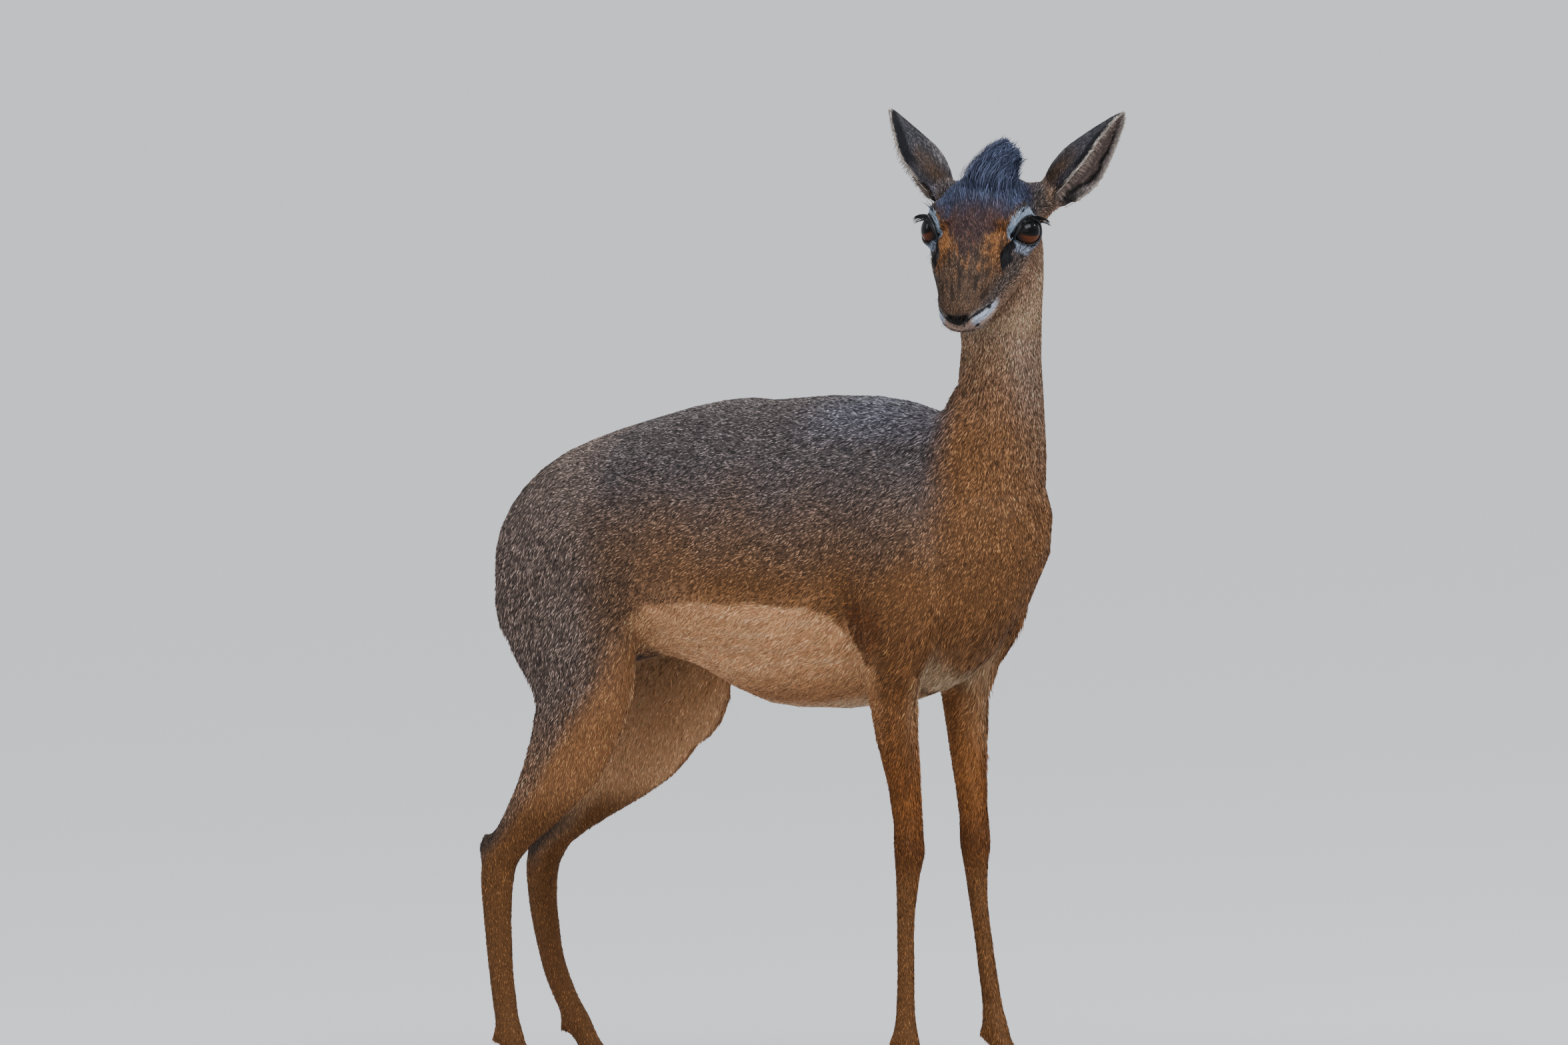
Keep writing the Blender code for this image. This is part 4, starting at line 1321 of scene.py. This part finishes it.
def lash_hairs():
    """Long lashes on the upper lids, and fine hairs over the brows, cheeks, lips and chin."""
    count = LASHES
    turn = np.radians(chance.uniform(48, 172, count))
    ring = lid_way(turn, lid_edge(turn))
    root = (EYE_SIDE, 0, 0) + ring * (EYE_RADIUS + chance.uniform(0.9, 1.9, count))[:, None]
    fall = np.array((0.82, 0.5, -0.4))
    start = 0.7 * ring + 0.7 * fall + chance.normal(0, 0.07, (count, 3))
    size = 3.6 + 5.4 * rise(np.degrees(turn), 60, 140) * chance.uniform(0.7, 1, count)
    groups = [(curved(root, start, fall + chance.normal(0, 0.1, (count, 3)), size), 0.34, BLACK_FUR * 0.6)]
    for middle, spread, number, way, bend, low, high, width, colour in BRISTLES:
        root = in_head(hide.spots(np.array(middle) + chance.normal(0, 1, (number, 3)) * spread))
        start = np.array(way) + chance.normal(0, 0.16, (number, 3))
        line = curved(root, start, start + np.array(bend), chance.uniform(low, high, number))
        groups.append((line, width, colour))
    lines = np.concatenate([mirrored(line) for line, width, colour in groups])
    colours = np.concatenate([one_colour(colour, 2 * len(line)) for line, width, colour in groups])
    width = np.concatenate([np.full(2 * len(line), width) for line, width, colour in groups])
    facing = head_way(np.broadcast_to((0.0, 0.6, 0.8), (len(lines), 3)))
    hair_piece("lashes_and_whiskers", on_head(lines), facing, width, colours, (0, 0, 1), 0.5)


BRISTLES = [  # middle, spread, number, way, bend, shortest, longest, width, colour
    ((28.5, -1, 16.5), (1.6, 3.0, 0.6), 16, (0.55, -0.4, 0.65), (0.2, 0, -0.5), 5, 10, 0.2, BLACK_FUR),
    ((29, 14, -9), (1.5, 2.0, 2.0), 5, (0.7, 0.2, -0.4), (0, -0.3, -0.4), 4, 7, 0.14, BLACK_FUR),
    ((12, 62, 1.5), (1.5, 4.0, 1.5), 9, (0.8, 0.1, 0), (0, -0.8, -0.9), 3, 6, 0.11, EAR_BACK),
    ((10, 64, -11), (2.0, 5.0, 1.5), 24, (0.5, 0.2, -0.8), (0, -0.6, -0.3), 2.5, 5, 0.12, PALE_LIP),
    ((3, 69, -10), (2.0, 1.0, 1.5), 14, (0.1, 0.4, -0.8), (0, -0.6, -0.2), 2, 4, 0.12, PALE_LIP),
]


# ---------------------------------------------------------------- the eyes

PUPIL_AXIS = unit(np.array((0.80, 0.42, 0.43)))
IRIS = tone(92, 46, 16)
# Dark of the iris's rim and streaks, and also the painted shade of the lids over its upper half.
IRIS_DARK_AND_LID_SHADE = tone(10, 9, 12)
PUPIL_HALF = (6.6, 2.3)
PUPIL_BLACK = 0.0012
WHITE_OF_EYE = 0.004  # almost black too, as in other small antelopes


def eyeball(word, side):
    """A ball with a bulged cornea, a brown iris and a level, slot-shaped pupil; the iris's upper half is
    painted dark as the shade of the upper lid and lashes.
    """
    facing = head_way(PUPIL_AXIS * (side, 1, 1))
    level = unit(np.cross(facing, (0, 0, 1)))
    upright = np.cross(level, facing)
    mesh = ball((0, 0, 0), EYE_RADIUS * MM, 6)
    points = points_of(mesh)
    way = unit(points)
    angle = np.degrees(np.arccos(np.clip(way @ facing, -1, 1)))
    points *= (1 + 0.03 * rise(angle, 44, 20))[:, None]
    across = way @ level * EYE_RADIUS
    high = way @ upright * EYE_RADIUS
    slot = np.hypot(across / PUPIL_HALF[0], high / PUPIL_HALF[1])
    streaks = 0.5 + 0.5 * np.sin(np.arctan2(high, across) * 38 + 3 * np.sin(across * 2.1))
    # The iris fades to dark at its rim and between its streaks, and its upper half is painted dark as the
    # shade of the upper lid and lashes.
    iris_and_painted_lid_shade = rise(angle, 58, 26) * (0.6 + 0.4 * streaks) * rise(high, 1.5, -2.5)
    iris = mixed(IRIS_DARK_AND_LID_SHADE, IRIS, iris_and_painted_lid_shade)
    colour = mixed(np.full((len(points), 3), PUPIL_BLACK), iris, rise(slot, 0.85, 1.25))
    colour = mixed(colour, np.full((len(points), 3), WHITE_OF_EYE), rise(angle, 52, 62))
    paint(mesh, colour)
    moved(mesh, points + on_head((side * EYE_SIDE, 0, 0)))
    smooth_faces(mesh)
    return piece(f"eyeball_{word}", mesh, EYE, [f"eye_{word}"])


RIM_STEPS = 96
RIM_SIDES = 12


def lid_rims():
    """The wet edges of the lids: a closed tube round each opening, thick above and thin below."""
    turns = np.linspace(-math.pi, math.pi, RIM_STEPS, endpoint=False)
    upper = rise(np.sin(turns), -0.15, 0.35)
    high = 0.45 + 0.75 * upper
    edge = lid_edge(turns) + 1.5 - 4.5 * upper
    ring = lid_way(turns, edge)
    away = lid_way(turns, edge + 90)
    centre = (EYE_SIDE, 0, 0) + ring * (EYE_RADIUS + 0.5)
    section = np.linspace(0, 2 * math.pi, RIM_SIDES, endpoint=False)
    broad, thick = away * (high * 1.25)[:, None], ring * (0.35 + high * 0.7)[:, None]
    places = np.stack([centre + broad * math.cos(a) + thick * math.sin(a) for a in section], 1)
    blue = mixed(WET_EDGE, BLACK_SKIN, rise(np.cos(section), 0.5, -0.2))
    colour = blue + (BLACK_SKIN - blue) * upper[:, None, None]
    here = np.arange(RIM_STEPS * RIM_SIDES).reshape(RIM_STEPS, RIM_SIDES)
    ahead, beside = np.roll(here, -1, 0), np.roll(here, -1, 1)
    faces = np.stack([here, beside, np.roll(ahead, -1, 1), ahead], -1).reshape(-1, 4)
    points = on_head(mirrored(places.reshape(-1, 3)))
    mesh = mesh_from("lid_rims", points, np.concatenate([faces, faces[:, ::-1] + here.size]))
    paint(mesh, np.concatenate([colour.reshape(-1, 3)] * 2))
    smooth_faces(mesh)
    return piece("lid_rims", mesh, LIDS)


# ---------------------------------------------------------------- studio


def lamp(name, kind, power, colour, place, towards):
    light = bpy.data.lights.new(name, kind)
    light.energy = power
    light.color = colour
    holder = bpy.data.objects.new(name, light)
    bpy.context.scene.collection.objects.link(holder)
    holder.location = place
    holder.rotation_mode = "QUATERNION"
    holder.rotation_quaternion = Vector(towards).to_track_quat("-Z", "Y")
    return light


def studio():
    scene = bpy.context.scene
    corners = np.array([(-1, -1, 0), (1, -1, 0), (1, 1, 0), (-1, 1, 0)]) * FLOOR_HALF
    floor = mesh_from("floor", corners, np.array([[0, 1, 2, 3]]))
    finish = Finish("pale_floor", Base_Color=FLOOR_COLOUR, Roughness=0.9)
    floor.materials.append(finish.material)
    ground = bpy.data.objects.new("floor", floor)
    scene.collection.objects.link(ground)
    world = bpy.data.worlds.new("studio")
    scene.world = world
    world.use_nodes = True
    surround = world.node_tree.nodes["Background"].inputs
    surround["Color"].default_value = SURROUND_COLOUR
    surround["Strength"].default_value = SURROUND_STRENGTH
    for name, way, spread, strength, colour in SUNS:
        light = lamp(name, "SUN", strength, colour, (0, 0, 0), -Vector(way))
        light.angle = math.radians(spread)
    for name, place, size, power, colour in WINDOWS:
        light = lamp(name, "AREA", power, colour, place, Vector(WINDOWS_FACE) - Vector(place))
        light.shape = "RECTANGLE"
        light.size, light.size_y = size
    scene.view_settings.look = "AgX - Medium High Contrast"


FLOOR_HALF = 90.0
FLOOR_COLOUR = (0.53, 0.52, 0.52, 1)
SURROUND_COLOUR = (0.93, 0.95, 1.0, 1)
SURROUND_STRENGTH = 0.66
WINDOWS_FACE = (0, -0.1, 0.42)
SUNS = [  # name, where it stands, width in degrees, strength, colour
    ("sky", (-0.25, -0.1, 1.0), 70, 1.35, (0.8, 0.9, 1.0)),
    ("fill", (-0.8, -0.62, 0.15), 70, 0.6, (1.0, 0.95, 0.88)),
    ("glint", (0.67, -0.62, 0.45), 8, 0.3, (0.85, 0.93, 1.0)),
    ("rim", (1.0, 0.7, 1.1), 20, 0.7, (1.0, 0.93, 0.82)),
]
WINDOWS = [  # name, place, size in metres, watts, colour
    ("window", (-0.6, -2.1, 2.1), (2.1, 1.3), 48, (0.9, 0.95, 1.0)),
    ("far_window", (-1.7, 1.6, 1.7), (0.8, 1.4), 12, (0.92, 0.96, 1.0)),
]
VIEW_AROUND = -52.0  # degrees from straight ahead of her, towards her right
VIEW_UP = 3.0
VIEW_TILT = 3.0
VIEW_DISTANCE = 9.0
PIXELS_WIDE = 2352
PIXELS_A_METRE = 2530
AIM = (0, 16.5, 342)


def camera():
    around, up, tilt = (math.radians(a) for a in (VIEW_AROUND, VIEW_UP, VIEW_TILT))
    back = Vector((math.sin(around) * math.cos(up), -math.cos(around) * math.cos(up), math.sin(up)))
    level = Vector((math.cos(around), math.sin(around), 0))
    over = back.cross(level)
    right = level * math.cos(tilt) - over * math.sin(tilt)
    top = level * math.sin(tilt) + over * math.cos(tilt)
    data = bpy.data.cameras.new("view")
    data.sensor_width = 36
    data.lens = 36 * VIEW_DISTANCE * PIXELS_A_METRE / PIXELS_WIDE
    data.clip_start = 0.5
    data.clip_end = 300
    eye = bpy.data.objects.new("view", data)
    bpy.context.scene.collection.objects.link(eye)
    place = Vector(stand(AIM)) + back * VIEW_DISTANCE
    turn = Matrix((right, top, back)).transposed().to_4x4()
    eye.matrix_world = Matrix.Translation(place) @ turn
    bpy.context.scene.camera = eye


# ---------------------------------------------------------------- making

SKIN = skin_finish()
FUR = coat_finish("dik_dik_coat", 0.62)
EYE = eye_finish()
HOOF = horn_finish()
LIDS = lid_finish()

camera()
studio()
skin = skin_mesh()
hide = Hide(skin)
# Where the coat covers it, the skin is painted a fifth darker than the markings, and it keeps their full
# colour where it is bare: partly a darker undercoat, partly painted shade in the gaps between the tufts.
paint(skin, mixed(hide.coat.colour * 0.8, hide.coat.colour, hide.coat.bare), hide.coat.bare)
smooth_faces(skin)
piece("skin", skin, SKIN, FLESH)

middle = hide.points[hide.triangles].mean(1)
of_part = hide.part[hide.triangles[:, 0]]
side, forward, height = stood(middle).T


def belongs(*names):
    return np.isin(of_part, [PARTS.index(name) for name in names])


trunk = belongs("trunk", "tail")
legs = belongs("fore", "hind")
BACK_LINE = 335
muzzle = (in_head(middle) @ (0, 1, 0)) > 8
HEAD_LONG = tuple(head_way((0, 1, 0)))
COAT_PIECES = [  # name, slot, where it grows, tufts, the axis that its map is unrolled round
    ("coat_back_front", "coat", trunk & (height > BACK_LINE) & (forward > 10), 52000, (0, 1, 0)),
    ("coat_back_rear", "coat", trunk & (height > BACK_LINE) & (forward <= 10), 48000, (0, 1, 0)),
    ("coat_side_left", "coat", trunk & (height <= BACK_LINE) & (side > 0), 44000, (0, 1, 0)),
    ("coat_side_right", "coat", trunk & (height <= BACK_LINE) & (side <= 0), 54000, (0, 1, 0)),
    ("coat_neck", "coat", belongs("neck"), 50000, (0, 0, 1)),
    ("coat_face", "coat", belongs("head", "crest") & muzzle, 54000, HEAD_LONG),
    ("coat_head", "coat", belongs("head", "crest") & ~muzzle, 34000, HEAD_LONG),
    ("coat_ears", "ear", belongs("ear"), 32000, tuple(head_way((1, 0, 0)))),
    ("coat_hind_left", "leg", belongs("hind") & (side > 0), 28000, (0, 0, 1)),
    ("coat_hind_right", "leg", belongs("hind") & (side <= 0), 34000, (0, 0, 1)),
    ("coat_fore", "leg", belongs("fore"), 36000, (0, 0, 1)),
]
for name, slot, where, tufts, axis in COAT_PIECES:
    coat_piece(name, hide, where.astype(float), tufts, axis)
crest_locks()
ear_hairs()
lash_hairs()
lid_rims()
for word, side in (("left", 1), ("right", -1)):
    eyeball(word, side)
for name in HORN:
    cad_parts[name].data.materials.clear()
    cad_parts[name].data.materials.append(HOOF.material)
